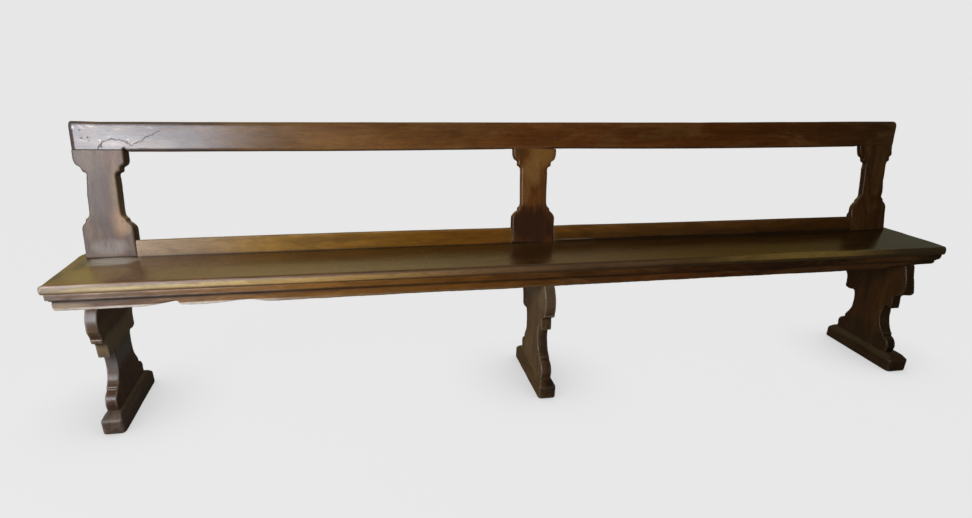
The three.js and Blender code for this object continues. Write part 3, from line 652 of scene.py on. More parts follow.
SEAT_WEAR_AND_HIGHLIGHT = [
    (-1.525, (190, 160, 110), 1), (-1.45, (390, 305, 165), 1), (-1.2, (450, 340, 160), 1),
    (-0.86, (450, 285, 90), 1), (-0.6, (340, 195, 48), 0.95), (-0.35, (235, 125, 42), 0.85),
    (0.1, (105, 50, 17), 0.7), (0.35, (115, 62, 18), 0.8), (0.55, (100, 52, 9), 0.8),
    (0.85, (240, 155, 24), 0.9), (1.15, (190, 120, 18), 0.9), (1.35, (50, 33, 12), 0.5)]
# The mouldings' tones are darkest at the right end, partly painted shade under the seat's nose
EDGE = [
    (-1.5, (85, 60, 48), (185, 140, 115)), (-0.98, (135, 60, 19), (290, 145, 46)),
    (-0.8, (140, 56, 8), (290, 130, 22)), (-0.3, (94, 31, 1.2), (195, 69, 3)),
    (0.1, (40, 14, 2), (100, 36, 6)), (0.5, (46, 13, 1), (105, 32, 3)), (0.95, (12, 4.5, 1), (34, 13, 3)),
    (1.5, (8, 4, 1), (22, 10, 3))]
EDGE_WEAR_AND_HIGHLIGHT = [
    (-1.5, (420, 360, 290), 0.8), (-1.38, (600, 540, 470), 1), (-1, (600, 530, 450), 0.9),
    (-0.75, (240, 170, 100), 0.7), (-0.3, (150, 110, 60), 0.6), (0.5, (100, 60, 25), 0.6),
    (0.9, (30, 15, 6), 0.4), (1.5, (20, 10, 4), 0.3)]
LEG = [(-1.4, (34, 15, 7), (80, 40, 22)), (0, (58, 31, 13), (145, 84, 38)), (1.4, (24, 9, 2), (66, 26, 6))]
FOOT = [
    (-1.4, (38, 24, 17), (88, 60, 43)), (0, (40, 20, 8), (100, 55, 22)), (1.4, (20, 10, 4), (52, 27, 11))]
LEG_WORN = [(-1.4, (170, 145, 120), 0.8), (0, (260, 200, 140), 0.6), (1.4, (130, 95, 70), 0.5)]
STAINS_AND_LIGHT = {
    # low rail: a dark band along the right rail's foot is painted shade where it meets the seat; a thin pale
    # line is a painted highlight on the foot's arris
    "low_rail": [(750, 482, 720, 6.5, (12, 6, 3), 0.9), (155, 487.8, 78, 1.5, (320, 270, 200), 0.6)],
    "splat": [
        (-1358, 655, 28, 90, (210, 145, 70), 0.55), (-1368, 595, 30, 45, (290, 170, 90), 0.6),
        # the left splat's pale lilac patch low down is a painted sheen
        (-1405, 513, 50, 25, (210, 180, 160), 0.6), (-1415, 585, 25, 28, (50, 34, 27), 0.5),
        (-1415, 640, 40, 130, (50, 33, 28), 0.6), (40, 790, 45, 50, (200, 95, 22), 0.8),
        (2, 725, 35, 50, (200, 100, 26), 0.75), (-22, 655, 22, 45, (170, 75, 20), 0.65),
        (-55, 810, 30, 55, (55, 28, 8), 0.6), (0, 535, 120, 70, (30, 10, 4), 0.95)],
    "seat": [
        # seat before the left splat: a pale patch, a painted reflection of the splat and painted light where
        # the splat shades the seat, and a golden patch in front of it, painted light
        (-1400, 50, 80, 45, (360, 320, 250), 0.9), (-1400, -85, 85, 80, (195, 116, 31), 0.9),
        (-1475, 30, 18, 60, (30, 18, 8), 0.8), (-1518, -100, 25, 50, (35, 22, 12), 0.8)],
    # apron's bottom edge at the left end: pale, wear and a painted highlight
    "edge": [(-1480, 410, 70, 10, (270, 200, 130), 0.65)],
    "leg": [
        (-1407, 270, 50, 35, (200, 145, 75), 0.7), (-1407, 335, 50, 20, (120, 75, 35), 0.5),
        # leg: a pale grey patch on the left leg's cove is a painted highlight; the middle leg's upper part is
        # lighter, painted light
        (-1407, 205, 25, 35, (150, 155, 160), 0.5), (0, 360, 300, 50, (150, 102, 56), 0.55),
        # the middle leg's lower front is darker, painted shade; the right leg is darker near its foot
        (10, 175, 19, 85, (22, 12, 7), 0.7), (1407, 90, 50, 55, (18, 10, 4), 0.6)],
    # the middle foot's toe top is darker, painted shadow
    "foot": [(12, 50, 24, 16, (12, 6, 3), 0.85)],
}

MATS = {
    "rail": wood("walnut_top_rail", "x", RAIL, RAIL_WEAR_AND_SHADE, rough=0.29, seed=1.3, mottle=0.16, bump=0.14,
                 spec=[(-1.47, 0.58), (-1.38, 0.7), (-1.28, 0.68), (-1.12, 0.53), (-1, 0.5), (1.5, 0.5)],
                 golden=((200, 100, 26), 0.25)),
    "low_rail": wood("walnut_low_rails", "x", LOW, LOW_WORN, spec=0.3, seed=4.1, mottle=0.22,
                     # painted shade: the low rails darker towards their foot at the seat
                     painted_shade=(525, 487, [(-1.3, 0.95), (0, 0.9), (0.1, 0.5), (1.3, 0.5)]),
                     line=(470, 478, 480.8, 484.5, [(-1.5, 0.92), (1.5, 0.92)]), stains_and_light=STAINS_AND_LIGHT["low_rail"]),
    "splat": wood("walnut_splats", "slope", BACK, WEAR_AND_SHADE, rough=0.34, spec=0.26, seed=2.2,
                  golden=((180, 90, 30), 0.2), stains_and_light=STAINS_AND_LIGHT["splat"]),
    "seat": wood("walnut_seat_board", "x", SEAT, SEAT_WEAR_AND_HIGHLIGHT, rough=0.22, spec=0.8, seed=3.7,
                 rubbed_and_lit_band=(-0.168, -0.1655, 0.4535, 0.4585, 0.4765, 0.468), flat=True, stains_and_light=STAINS_AND_LIGHT["seat"]),
    "edge": wood("walnut_mouldings", "x", EDGE, EDGE_WEAR_AND_HIGHLIGHT, rough=0.44, spec=0.32, seed=5.9, mottle=0.25,
                 golden=((220, 95, 25), 0.25), wear_amount=0.3, rubbed_and_lit_band=(0.2, 0.3, 0.4065, 0.4025),
                 # painted shade: the fascia darker to the right, under the seat's nose
                 painted_shade=(431.4, 431.8, [(-1.5, 0.95), (0.2, 0.8), (0.5, 0.5), (1.5, 0.8)]),
                 # painted shadow: the apron's top darkened under the fascia, strongest at the left
                 line=(412, 427, 431.3, 431.6, [(-1.5, 0.8), (-0.95, 0.7), (-0.55, 0.25), (1.5, 0.15)]),
                 stains_and_light=STAINS_AND_LIGHT["edge"]),
    "edge_end": wood("walnut_end_mouldings", "y", EDGE, EDGE_WEAR_AND_HIGHLIGHT, rough=0.44, spec=0.32, seed=6.3,
                     wear_amount=0.3),
    "leg": wood("walnut_legs", "z", LEG, LEG_WORN, rough=0.3, spec=0.42, seed=7.7, mottle=0.22,
                front_shade=[(-1.4, 0.68), (-1.2, 0.7), (0, 0.66), (1.4, 0.4)], stains_and_light=STAINS_AND_LIGHT["leg"]),
    "foot": wood("walnut_feet", "y", FOOT, LEG_WORN, rough=0.38, spec=0.3, seed=8.4, mottle=0.25,
                 wear_amount=0.6, front_shade=[(-1.4, 1), (0, 0.62), (1.4, 0.62)], stains_and_light=STAINS_AND_LIGHT["foot"]),
    "small": wood("walnut_small_parts", "z", BACK, WEAR_AND_SHADE, rough=0.55, spec=0.2, seed=9.2),
    "iron": iron(),
}


def settle(ob, angle, material, slot, *nodes):
    shade_smooth(ob.data, angle)
    ob.data.materials.clear()
    ob.data.materials.append(MATS[material])
    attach(ob, "root")
    if nodes:
        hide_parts(*nodes)


# Seat board: level loops round the left end, the front and the right end, closed across the back

def seat_levels():
    levels = [(24, SEAT_TOP), (14, SEAT_TOP)]
    for t in (radians(90 * k / 8) for k in range(9)):
        levels.append((NOSE_ROUND * (1 - sin(t)), NOSE_TIP + (SEAT_TOP - NOSE_TIP) * cos(t)))
    for t in (radians(90 * k / 6) for k in range(1, 7)):
        levels.append((NOSE_UNDERCUT * (1 - cos(t)), NOSE_TIP - (NOSE_TIP - NOSE_LOW) * sin(t)))
    return levels + [(10, NOSE_LOW), (31, NOSE_LOW), (32, SEAT_UNDER), (40, SEAT_UNDER)]


def seat_loop(inset, z):
    radius = max(SEAT_CORNER - inset, 1.5)
    left, right = -SEAT_LENGTH / 2 + 3.5 + inset, SEAT_LENGTH / 2 - 2 - inset
    turn = [(1 - cos(t), 1 - sin(t)) for t in np.linspace(0, pi / 2, 8)[1:-1]]
    points = [(left, y) for y in np.linspace(SEAT_DEPTH, inset + radius, 26)]
    points += [(left + radius * c, inset + radius * s) for c, s in turn]
    points += [(x, inset) for x in np.linspace(left + radius, right - radius, 380)]
    points += [(right - radius * s, inset + radius * c) for c, s in turn]
    points += [(right, y) for y in np.linspace(inset + radius, SEAT_DEPTH, 26)]
    return [(x, y, z) for x, y in points]


@on_points
def seat_shape(x0, y0, z0):
    near = 1 - smooth(0, 16, y0)
    wave = noise(x0, 0, 0, 46, 11) + 0.5 * noise(x0, 1, 0, 17, 12)
    tight = smooth(-500, 300, x0) * (1 - smooth(1490, 1515, x0))
    drawn = np.clip((y0 - 286) / 28, 0, 1) ** 2 * 9 + smooth(20, 250, y0) * 4
    x = x0 + smooth(1440, 1525, x0) * ramp_at(SEAT_END_STRAY, y0) + smooth(-1440, -1524, x0) * drawn
    x = x - 8 * smooth(-1500, -1522, x0) * (1 - smooth(4, 26, y0)) * (1 - smooth(473, 479, z0))
    y = np.where((y0 < NOSE_ROUND) & (z0 > NOSE_TIP), y0 * (1 - 0.5 * tight), y0) + near * 0.5 * wave
    return x, y, z0 + near * smooth(SEAT_UNDER + 8, SEAT_TOP, z0) * (0.35 * wave - 0.4)


def seat_board():
    levels = np.array(seat_levels())
    loops = [seat_loop(*level) for level in levels]
    count, n = len(loops), len(loops[0])
    faces = skin(count, n, closed=False)
    faces.append([k * n for k in range(count)] + [k * n + n - 1 for k in range(count - 1, -1, -1)])
    steps = np.diff(levels, axis=0)
    wear = worn_turns(levels, np.r_[0, np.abs(turns(steps[:-1], steps[1:])), 0], 4, 70)
    wear[[0, -1]] = 0
    height = levels[:, 1]
    wear = np.where(height < NOSE_TIP - 6, 0.35 * wear, wear) * (1 - smooth(468, 477, height))
    ob = mesh_object("seat_board_visual", seat_shape(np.concatenate(loops)), faces, np.repeat(wear, n))
    carve(ob, seat_cutters())
    settle(ob, 40, "seat", "walnut_seat", "seat_board")


def corner_fade(y):
    """One at the mouldings' right front corner, and less behind it."""
    return np.exp(-(np.maximum(y - APRON_CORNER, 0) / 55) ** 2)


def nail_shift(x, y):
    """How far aside and up a nail moves with the apron's foot, which is shorter and worn at its right end."""
    plain = MOULDING_END - APRON_CORNER
    short = (min(MOULDING_CORNER.values()) - END_WORN_FROM) / (plain - END_WORN_FROM) - 1
    aside = max(x - END_WORN_FROM, 0) * short * corner_fade(y)
    return aside, float(max(ramp_at(APRON_STRAY, x), 0) * (1 - smooth(30, 60, y)))


def nail_holes(prefix, depth, radius):
    """Cutters round the heads of the nails whose names start with prefix."""
    holes = []
    for node in frame["nodes"]:
        if node.startswith(prefix):
            low, high = (np.array(c) * 1000 - (0, ROW_Y, 0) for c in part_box(node))
            x, y = (low + high)[:2] / 2
            aside, up = nail_shift(x, y)
            z = low[2] + up
            holes.append(disc(x + aside, y, z - depth, z + NAIL_SEAT, radius))
    return holes


def moved_nails():
    for node, source in frame["nodes"].items():
        if not node.startswith("apron_nail"):
            continue
        verts = np.array([source.matrix_world @ v.co for v in source.data.vertices]) * 1000 - (0, ROW_Y, 0)
        aside, up = nail_shift(*(verts.min(0) + verts.max(0))[:2] / 2)
        if abs(aside) + up > 0.8:
            faces = [p.vertices for p in source.data.polygons]
            ob = mesh_object(node + "_visual", verts + (aside, 0, up), faces)
            settle(ob, 40, "iron", "wrought_iron", node)


def seat_cutters():
    cutters = []
    for x in (-SPLAT_X, 0, SPLAT_X):
        verts, faces = block((x - TENON_HALF - CLEARANCE, TENON_FRONT - CLEARANCE, -60),
                             (x + TENON_HALF + CLEARANCE, TENON_FRONT + TENON_THICK + CLEARANCE, -6))
        cutters.append((back_to_bench(verts), faces))
    return cutters + nail_holes("low_rail_nail", 5, 4.5)


# Fascia and apron mouldings, mitred at the front corners

def fascia_profile():
    points = [(FASCIA_INSET, FASCIA_TOP), (FASCIA_INSET, FASCIA_BOTTOM + FASCIA_ARRIS),
              (FASCIA_INSET + FASCIA_ARRIS, FASCIA_BOTTOM), (MOULDING_BACK, FASCIA_BOTTOM),
              (MOULDING_BACK, FASCIA_TOP)]
    return rounded(points, [0.6, 1.6, 1.6, 1, 0])


def apron_profile():
    height = APRON_TOP - APRON_BOTTOM
    points = [(APRON_INSET + APRON_RELIEF * a, APRON_BOTTOM + height * b) for a, b in APRON_FACE]
    points += [(APRON_INSET, APRON_TOP), (MOULDING_BACK, APRON_TOP), (MOULDING_BACK, APRON_BOTTOM)]
    return rounded(points, [1.5, 2, 4, 4, 4, 2, 0.8, 1, 0.8, 0.8, 0, 1])


@on_points
def moulding_shape(x, y0, z0):
    front = 1 - smooth(30, 60, y0)
    low = 1 - smooth(APRON_BOTTOM, APRON_BOTTOM + 17, z0)
    stray = ramp_at(APRON_STRAY, x)
    fine, wave = noise(x, y0, 0, 9, 21) * 0.5, noise(x, y0, 0, 60, 22) * 0.5
    z = z0 + low * (front * stray + fine + wave)
    chip = np.clip(stray / 9.5, 0, 1)
    y = y0 + np.where(z < APRON_TOP, front * low * chip * 5 * (1 - smooth(16, 34, y0)), 0)
    plain = np.where(z0 > FASCIA_BOTTOM, MOULDING_END - FASCIA_INSET, MOULDING_END - APRON_CORNER)
    squeeze = (ramp_at(MOULDING_CORNER, z) - END_WORN_FROM) / (plain - END_WORN_FROM)
    squeeze = 1 - (1 - squeeze) * corner_fade(y0)
    x = np.where(x > END_WORN_FROM, END_WORN_FROM + (x - END_WORN_FROM) * np.minimum(squeeze, 1), x)
    left = 1 - smooth(-1522, -1500, x)
    return x - left * (1.5 + 7 * smooth(402, 430, z) * (z0 < FASCIA_BOTTOM)), y, z


def mouldings():
    across = spread(-MOULDING_END, MOULDING_END, 14, [(-1300, -880, 3), (1425, 1522, 3), (-1522, -1490, 3)])
    backwards = sorted(set(np.linspace(0, 1, 32)) | set(np.linspace(0, 0.25, 28)))
    for kind, profile in (("fascia", fascia_profile()), ("apron", apron_profile())):
        for part, side in (("front", 0), ("left", -1), ("right", 1)):
            def place(u, v, s):
                if side:
                    return side * (MOULDING_END - u), u + (SEAT_DEPTH - u) * s, v
                return s * (MOULDING_END - u) / MOULDING_END, u, v

            node = kind + "_" + part
            ob = loft(node + "_visual", profile, backwards if side else across, place, shape=moulding_shape)
            if kind == "apron":
                carve(ob, nail_holes("apron_nail_" + part, 12, 4.6))
            settle(ob, 38, "edge_end" if side else "edge", "walnut_edge", node)


# Back: splats, top rail and low rails, drawn in the raked back frame

def splat(side, x, lean, thick, taper, flare):
    """taper narrows the splat's back, and flare is how much of the right edge's stray its front shows."""
    def place(out, up):
        return SHAFT_HALF + (BLOCK_HALF - SHAFT_HALF) * out, RAIL_RISE * up

    right = edge((BLOCK_HALF, -3), SPLAT_EDGE, place) + [np.array((BLOCK_HALF, RAIL_RISE + 2.5))]
    body = prism([tuple(p) for p in right] + [(-p[0], p[1]) for p in right[::-1]], 0, thick, 1)
    foot_z = (SEAT_UNDER + 0.8 - SEAT_TOP) / cos(RAKE)
    run = [(y, foot_z + y * tan(RAKE)) for y in (TENON_FRONT, TENON_FRONT + TENON_THICK)]
    tenon = prism(run + [(y, 60) for y, _ in run[::-1]], -TENON_HALF, TENON_HALF, 0)

    @on_points
    def shape(u0, y, z0):
        left, right = SPLAT_STRAY[side]
        rear = flare + (1 - flare) * smooth(0, thick, y)
        u = u0 * (1 - taper * smooth(thick - 16, thick, y) * 0.11)
        u = u + smooth(4, 36, -u0) * ramp_at(left, z0) + smooth(4, 36, u0) * ramp_at(right, z0) * rear
        z = z0 + smooth(RAIL_RISE - 30, RAIL_RISE, z0) * (ramp_at(RAIL_FOOT_STRAY, x + u) - 1.2)
        u = u + 0.5 * noise(u0, y, z0, 55, 31 + int(x / 100)) + 0.25 * noise(u0, y, z0, 14, 32)
        return u, y, z

    @in_the_back
    def turned(u, y, z):
        c, s = cos(lean), sin(lean)
        return x + u * c + z * s, y, -u * s + z * c

    def front(p):
        return 0.36 + 0.24 * (1 - smooth(0, 16, p[:, 1]))

    def joint(p):
        gap = p[:, 2] - RAIL_RISE - ramp_at(RAIL_FOOT_STRAY, x + p[:, 0])
        return (0.5 * np.exp(-(gap / 1.3) ** 2) + 0.9 * np.exp(-(p[:, 2] / 2.6) ** 2)) * (p[:, 1] < 3)

    ob = worn_solid(f"splat_{side}_visual", [body, tenon], ROUNDS, shape, turned, front, joint)
    settle(ob, None, "splat", "walnut_back", f"splat_{side}")


# The split, as stretches of (x, height up the slope, half width)
CRACK = [
    [(-1400.5, 331.5, 1), (-1397, 340, 1.5), (-1392, 344.5, 1.5), (-1388, 349, 1.2), (-1385.5, 353, 0.9),
     (-1380, 355.5, 0.6), (-1370, 358.5, 0.5), (-1363, 361, 0.6), (-1354.5, 364, 0.9), (-1349, 360, 1),
     (-1344, 358, 0.8), (-1338, 361, 0.5), (-1331, 358, 0.6), (-1322, 356.5, 0.8), (-1313, 357.5, 0.5)],
    [(-1320.5, 355.5, 0.4), (-1316, 353.5, 0.8), (-1310, 350, 0.6), (-1306, 346.5, 0.8),
     (-1299.5, 350, 0.5), (-1295, 353, 0.4), (-1287, 354.5, 0.3), (-1279, 358, 0.4), (-1271.5, 361, 0.3),
     (-1264.5, 365.5, 0.5), (-1261, 371, 0.4), (-1251, 375.5, 0.6), (-1238.5, 379, 0.5),
     (-1228.5, 385, 0.2), (-1217, 390.5, 0.3), (-1213, 393.5, 0)]]
# Dents, and pale specks that are painted glints: middle and radius
DENTS = [(-1444, 365.6, 2.8), (-1426, 368.2, 2.4), (-1424, 357, 1.6), (-1391, 338, 3.4), (-1446, 392, 2)]
GLINT_SPECKS = [(-1050, 361, 2), (-700, 366, 1.8), (-683, 361, 1.4), (-302, 364, 1.4), (88, 366, 1.8)]
# Painted glints, pale patches standing in for glints of light on the worn surface: middle, half length and
# half width in millimetres, turn in degrees, strength
PAINTED_GLINTS = [
    (-1463, 399, 4, 4, 0, 0.6), (-1414, 404.6, 10, 3.2, -10, 0.7), (-1440, 402, 9, 2.5, -35, 0.35),
    (-1393, 359, 4, 4, 0, 0.55), (-1335, 395.5, 12, 2.4, 0, 0.4), (-1365, 372, 8, 3.5, 10, 0.25),
    (-1312, 364.3, 3.5, 3, 0, 0.5), (-1297, 354, 10, 3, 30, 0.45), (-1350, 346, 32, 7, 2, 0.3),
    (-1244, 400.7, 16, 3, -8, 0.25), (-1441, 356.5, 10, 3, -15, 0.25), (-1286, 341, 25, 2.5, 8, 0.2)]


def crack_in_rail(points):
    """Opens the old split in the rail's left end, presses a few dents, and paints pale glints, which are
    painted highlights.
    """
    x, y, z = points.T
    u = x + 1.5 * noise(x, z, 0, 5, 41)
    v = z + 2.0 * noise(x, z, 50, 5, 42)

    def spot(x0, z0, radius):
        return np.exp(-(np.hypot(x - x0, z - z0) / radius) ** 2)

    depth = pale = np.zeros(len(x))
    for line in CRACK:
        for (x0, z0, w0), (x1, z1, w1) in zip(line[:-1], line[1:]):
            dx, dz = x1 - x0, z1 - z0
            t = np.clip(((u - x0) * dx + (v - z0) * dz) / (dx * dx + dz * dz), 0, 1)
            gap = np.hypot(u - x0 - t * dx, v - z0 - t * dz)
            width = w0 + (w1 - w0) * t
            depth = np.maximum(depth, np.minimum(1, 0.5 + width * 0.5)
                               * np.exp(-(gap / np.maximum(width * 1.2, 0.95)) ** 2))
    for dent in DENTS:
        depth = np.maximum(depth, 0.8 * spot(*dent))
    # painted highlight: pale glints on the worn surface, kept in pale
    for x0, z0, length, width, turn, strength in PAINTED_GLINTS:
        c, s = cos(radians(turn)), sin(radians(turn))
        along, across = (u - x0) * c + (v - z0) * s, (v - z0) * c - (u - x0) * s
        pale = np.maximum(pale, strength * np.exp(-(along / length) ** 2 - (across / width) ** 2))
    for speck in GLINT_SPECKS:
        pale = np.maximum(pale, 0.4 * spot(*speck))
    pale = np.where(y < 1, pale, 0)
    depth = np.where((y < 1) & (x < -1180) & (x > -1470), depth, 0)
    return np.stack([x, y + 0.5 * depth - 0.06 * pale, z], 1), depth - pale * (1 - np.clip(depth * 2, 0, 1))


def top_rail():
    half, back = SPLAT_X + BLOCK_HALF, BACK_THICK - 0.4
    points = [(0, RAIL_RISE), (back, RAIL_RISE), (back, RAIL_TOP), (0, RAIL_TOP)]

    def place(u, v, s):
        drop = 10 - sqrt(max(0, 100 - (10 - min(half - abs(s), 10)) ** 2))
        share = (v - RAIL_RISE) / (RAIL_TOP - RAIL_RISE)
        square = max(1 - smooth(BLOCK_HALF - 6, BLOCK_HALF + 6, abs(s - x)) for x in (-SPLAT_X, 0, SPLAT_X))
        less = square * np.maximum(np.minimum(u, v - RAIL_RISE), 0) * (u < 10) * (share < 0.2)
        return s, u - less, v - drop * smooth(0.75, 1, share) - less

    @in_the_back
    def shape(x, y, z):
        share = smooth(RAIL_RISE + 4, RAIL_TOP - 10, z)
        z = z + share * ramp_at(RAIL_TOP_STRAY, x) + (1 - share) * ramp_at(RAIL_FOOT_STRAY, x)
        z = z + 0.35 * noise(x, y, z * 0.3, 80, 51)
        y = y + 0.3 * noise(x, z, 0, 120, 52) * (1 - smooth(20, 30, y))
        wide, deep = np.where(x < 0, 14, 5), np.where(x < 0, 7, 2)
        end = 1 - np.minimum(half - np.abs(x), wide) / wide
        y = np.where(y < 17, y + end ** 1.6 * deep * (1 - smooth(0, 12, y)), y)
        return x + smooth(1440, half, x) * (1 + 8 * share) - smooth(-1440, -half, x) * 1.6, y, z

    step, fine = ((1.3, 1.3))
    stations = spread(-half, half, 16, [(-1478, -1190, fine), (half - 24, half, 3), (-1330, -1314, 2),
                                        (-98, -72, 4), (92, 118, 4), (1318, 1335, 4)])
    ob = loft("top_rail_visual", rounded(points, [9, 3, 4, 14]), stations, place, step, shape, crack_in_rail)
    settle(ob, 50, "rail", "walnut_back", "top_rail")


def low_rails():
    points = [(0, -4), (LOW_RAIL_THICK, -4), (LOW_RAIL_THICK, LOW_RAIL_TOP), (3.5, LOW_RAIL_TOP),
              (0, LOW_RAIL_TOP - 3.5)]
    profile = rounded(points, [0.5, 0.5, 2, 1.2, 1.2])

    @in_the_back
    def shape(x, y, z):
        z = z + smooth(10, 50, z) * (ramp_at(LOW_RAIL_STRAY, x) + 0.3 * noise(x, y, 0, 60, 61))
        return x, y + 0.25 * noise(x, z, 0, 90, 62), z

    for side, left, right in (("left", -SPLAT_X + BLOCK_HALF + 1.4, -BLOCK_HALF - 2.6),
                              ("right", BLOCK_HALF + 6.6, SPLAT_X - BLOCK_HALF - 10.8)):
        ob = loft(f"low_rail_{side}_visual", profile, spread(left, right, 14), lambda u, v, s: (s, u, v),
                  shape=shape)
        settle(ob, 40, "low_rail", "walnut_back", f"low_rail_{side}")


def glue_block():
    right, base = SPLAT_X - BLOCK_HALF + 0.5, LOW_RAIL_TOP - 1
    outline = [(right, base), (right, base + 20)]
    turn = np.linspace(0, pi / 2, 10)[1:]
    outline += [(right - 14 * sin(t), base + 20 * cos(t)) for t in turn]
    body = prism(outline, LOW_RAIL_THICK - 15, LOW_RAIL_THICK, 1)
    ob = worn_solid("glue_block_right_visual", [body], 4, place=back_to_bench)
    settle(ob, None, "small", "walnut_small", "glue_block_right")


# Legs and feet

def leg_outline():
    rise = APRON_BOTTOM - CLEARANCE - LEG_FOOT

    def place(back, up):
        return LEG_DEPTH * back - LEG_REACH, LEG_FOOT + rise * up

    front, back = (edge(place(sole, 0), stretches, place)
                   for sole, stretches in zip(LEG_SOLE, (LEG_FRONT, LEG_BACK)))
    low, top, notch = LEG_FOOT - 8, SEAT_UNDER + 1.5, MOULDING_BACK + CLEARANCE
    return [(front[0][0], low), *map(tuple, front), (notch, front[-1][1]), (notch, top),
            (back[-1][0], top), *map(tuple, back[::-1]), (back[0][0], low)]


def tenon_block(x, more, low, high):
    half_x, half_y = LEG_TENON
    return block((x - half_x - more, LEG_MIDDLE - half_y - more, low),
                 (x + half_x + more, LEG_MIDDLE + half_y + more, high))


def leg(side, x):
    body = prism(leg_outline(), *LEG_SIDES[side], 0)
    along, right_face, reach = LEG_STRAY[side]
    seed = int(x / 100)

    @on_points
    def moved(u, y, z):
        u, y = (u + 0.5 * noise(u, y, z, 70, 71 + seed),
                y + 0.4 * noise(u, y, z, 40, 72 + seed))
        across = smooth(-20, 14, u) if right_face else 1
        y = y + across * ramp_at(along, z) * (1 - smooth(*reach, y))
        gap = np.maximum(ramp_at(APRON_STRAY, x + u), 0) * (1 - smooth(24, 33, y))
        return u, y, z + smooth(376, 397, z) * gap * 1.3

    ob = worn_solid(f"leg_{side}_visual", [body, tenon_block(0, 0, 1.9, LEG_FOOT + 20)], ROUNDS, moved,
                    lambda p: p + (x, 0, 0))
    settle(ob, None, "leg", "walnut_under", f"leg_{side}")


def foot(side, x):
    leg_front, leg_back = (LEG_DEPTH * s - LEG_REACH for s in LEG_SOLE)
    half = FOOT_WIDTH / 2
    rings = []
    for y in np.r_[np.linspace(FOOT_FRONT, FOOT_FRONT + 14, 9),
                   np.linspace(FOOT_FRONT + 18, FOOT_BACK - 18, 90),
                   np.linspace(FOOT_BACK - 14, FOOT_BACK, 9)]:
        end = min(y - FOOT_FRONT, FOOT_BACK - y, FOOT_ROUND)
        w = half - (FOOT_ROUND - sqrt(max(0, FOOT_ROUND ** 2 - (FOOT_ROUND - end) ** 2)))
        toe = ramp_at(FOOT_TOE, (y - FOOT_FRONT) / (leg_front - FOOT_FRONT))
        heel = ramp_at(FOOT_HEEL, (FOOT_BACK - y) / (FOOT_BACK - leg_back))
        across = np.linspace(-w, w, 25)
        sides = ramp_at(FOOT_SIDE, (half - np.abs(across)) / (half - LEG_THICK / 2))
        top = FOOT_HEIGHT * np.minimum(np.minimum(toe, heel), sides)
        ring = [(u, y, t) for u, t in zip(across, top)]
        ring += [(w, y, top[-1] * k) for k in (0.66, 0.33, 0)]
        rings.append(ring + [(-w, y, top[0] * k) for k in (0, 0.33, 0.66)])
    body = [p for ring in rings for p in ring], skin(len(rings), len(rings[0]))
    seed = int(x / 100)

    @on_points
    def moved(u, y, z):
        u, y, z = (u + 0.6 * noise(u, y, z, 50, 81 + seed),
                   y + 0.6 * noise(u, y, z, 50, 82 + seed),
                   np.where(z > 8, z + 0.5 * noise(u, y, z, 45, 83 + seed), np.maximum(z, 0)))
        toe = 1 - smooth(-20, 140, y)
        if side == "right":
            return u + 22 * smooth(-10, 30, u) * toe, y - 11 * (1 - smooth(-47, 60, y)), z
        if side == "left":
            return u - 6 * smooth(5, -28, u) * toe, y, z
        return u - 2 * smooth(0, -28, u), y, z

    ob = worn_solid(f"foot_{side}_visual", [body], ROUNDS // 2 + 1, moved, lambda p: p + (x, 0, 0))
    carve(ob, [tenon_block(x, CLEARANCE, -10, 40)])
    settle(ob, 60, "foot", "walnut_under", f"foot_{side}")


seat_board()
mouldings()
splat("left", -SPLAT_X, 0, 42, 0, 0.25)
splat("middle", 0, SPLAT_LEAN, 34, 0, 1)
splat("right", SPLAT_X, 0, 32, 1, 1)
top_rail()
low_rails()
glue_block()
moved_nails()
for side, x in (("left", -LEG_X), ("middle", 0), ("right", LEG_X)):
    leg(side, x)
    foot(side, x)

for node, ob in frame["nodes"].items():
    material = "iron" if "nail" in node else "small" if "peg" in node or "wedge" in node else None
    if material:
        for holder in ob.material_slots:
            holder.material = MATS[material]


# Floor, world and lamps. MIRRORED is the share of the background's brightness that waxed wood shows.

MIRRORED = (110, 85, 42)
FLOOR_MIRRORED = (75, 58, 38)
# The colour of the wall behind the bench in a gloss, by how far to the right the mirrored ray goes
WALL_MIRRORED = [
    (-0.36, (500, 460, 210)), (-0.22, (850, 660, 300)), (-0.12, (980, 770, 380)), (0.07, (740, 600, 280)),
    (0.17, (560, 440, 210)), (0.36, (440, 300, 150)), (0.43, (340, 210, 66)), (0.52, (220, 140, 36)),
    (0.58, (250, 165, 35)), (0.62, (210, 140, 35)), (0.655, (170, 160, 100)), (0.7, (170, 170, 120))]


def seen(g, mirrored):
    """One for the rays that see the pale background, and its tint for them: dim and warm in a gloss."""
    path = g.add("ShaderNodeLightPath").outputs
    direct, gloss, through = (Wire(g, path[f"Is {ray} Ray"]) for ray in ("Camera", "Glossy", "Transmission"))
    return g.math("ADD", direct + gloss, through, clamp=True), g.mix(gloss, 1, mirrored)


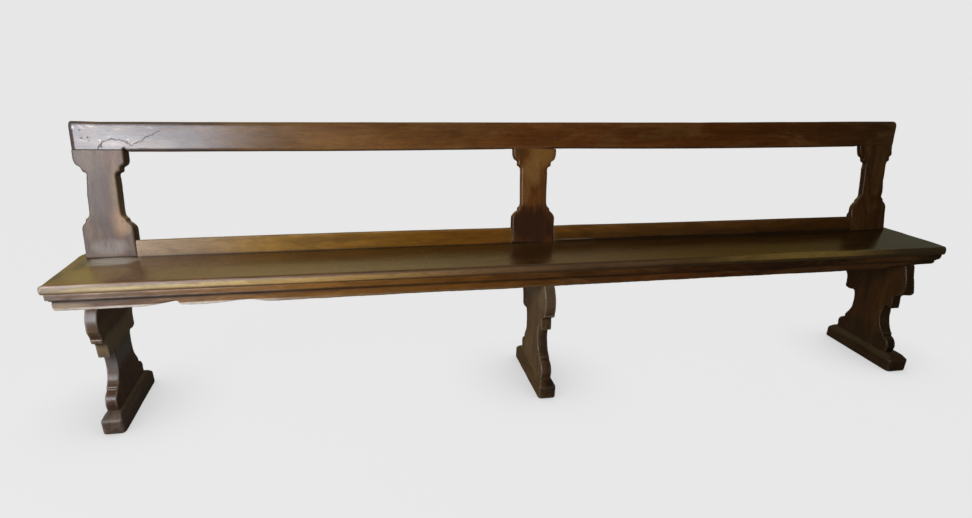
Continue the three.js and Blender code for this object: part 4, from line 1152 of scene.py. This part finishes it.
def floor():
    me = bpy.data.meshes.new("floor")
    bm = bmesh.new()
    bmesh.ops.create_grid(bm, x_segments=8, y_segments=8, size=40)
    bm.to_mesh(me)
    bm.free()
    ob = bpy.data.objects.new("floor", me)
    ob.location.z = -0.0004
    bpy.context.scene.collection.objects.link(ob)
    g = Graph("pale_floor")
    shown, tint = seen(g, FLOOR_MIRRORED)
    # painted contact shadow: the floor's glow for camera rays is darkened by ambient occlusion near the bench
    near = g.out("ShaderNodeAmbientOcclusion", {"Distance": 0.32}, "Color", samples=12)
    pale = g.mix(0.5, 0.855, near, "MULTIPLY")
    glow = g.out("ShaderNodeEmission", {"Color": g.mix(1, pale, tint, "MULTIPLY")})
    g.fill(g.bsdf, {"Base Color": rgba(0.26), "Roughness": 0.9, "Specular IOR Level": 0})
    mixed = g.out("ShaderNodeMixShader", {0: shown * 0.93, 1: Wire(g, g.bsdf.outputs[0]), 2: glow})
    g.fill(g.tree.nodes["Material Output"], {"Surface": mixed})
    me.materials.append(g.mat)


def world():
    w = bpy.data.worlds.new("studio")
    bpy.context.scene.world = w
    w.use_nodes = True
    g = Graph("studio", w.node_tree)
    to_right, to_back, _ = g.split(g.out("ShaderNodeTexCoord", pick="Generated"))
    wall = g.ramp(g.between(to_right, -1, 1), [((x + 1) / 2, colour) for x, colour in WALL_MIRRORED])
    shown, tint = seen(g, g.mix(g.between(to_back, 0, 0.45), MIRRORED, wall))
    g.fill(w.node_tree.nodes["Background"], {"Color": tint, "Strength": g.between(shown, 0, 1, 0.26, 0.8)})


def softbox(name, at, towards, size, power, colour, in_gloss=True):
    lamp = bpy.data.lights.new(name, "AREA")
    lamp.shape = "RECTANGLE"
    lamp.size, lamp.size_y = size
    lamp.energy = power
    lamp.color = colour
    ob = bpy.data.objects.new(name, lamp)
    ob.location = at
    ob.rotation_euler = (Vector(towards) - Vector(at)).to_track_quat("-Z", "Y").to_euler()
    ob.visible_camera = False
    ob.visible_glossy = in_gloss
    bpy.context.scene.collection.objects.link(ob)


def camera():
    yaw, pitch, roll = 0.202774, -0.439232, 0.021707
    turn = (Matrix.Rotation(-yaw, 4, "Z") @ Matrix.Rotation(pi / 2 + pitch, 4, "X")
            @ Matrix.Rotation(roll, 4, "Z"))
    data = bpy.data.cameras.new("camera")
    data.sensor_width = 36
    data.lens = 23.664
    data.shift_y = 0.0888
    data.clip_end = 200
    ob = bpy.data.objects.new("camera", data)
    ob.matrix_world = Matrix.Translation((-0.61344, -2.10082, 1.12731)) @ turn
    bpy.context.scene.collection.objects.link(ob)
    bpy.context.scene.camera = ob


floor()
world()
softbox("key", (-2.15, -1.65, 1.52), (-0.9, 0.1, 0.75), (1.5, 0.95), 60, (0.93, 0.945, 1.0))
softbox("low", (-3.0, -1.3, 0.5), (0.0, 0.0, 0.3), (1.0, 0.8), 24, (0.95, 0.96, 1.0))
softbox("fill", (1.4, -2.7, 0.75), (0.6, 0.0, 0.45), (1.8, 0.8), 9, (1.0, 0.93, 0.82), in_gloss=False)
camera()
bpy.context.scene.view_settings.view_transform = "Standard"
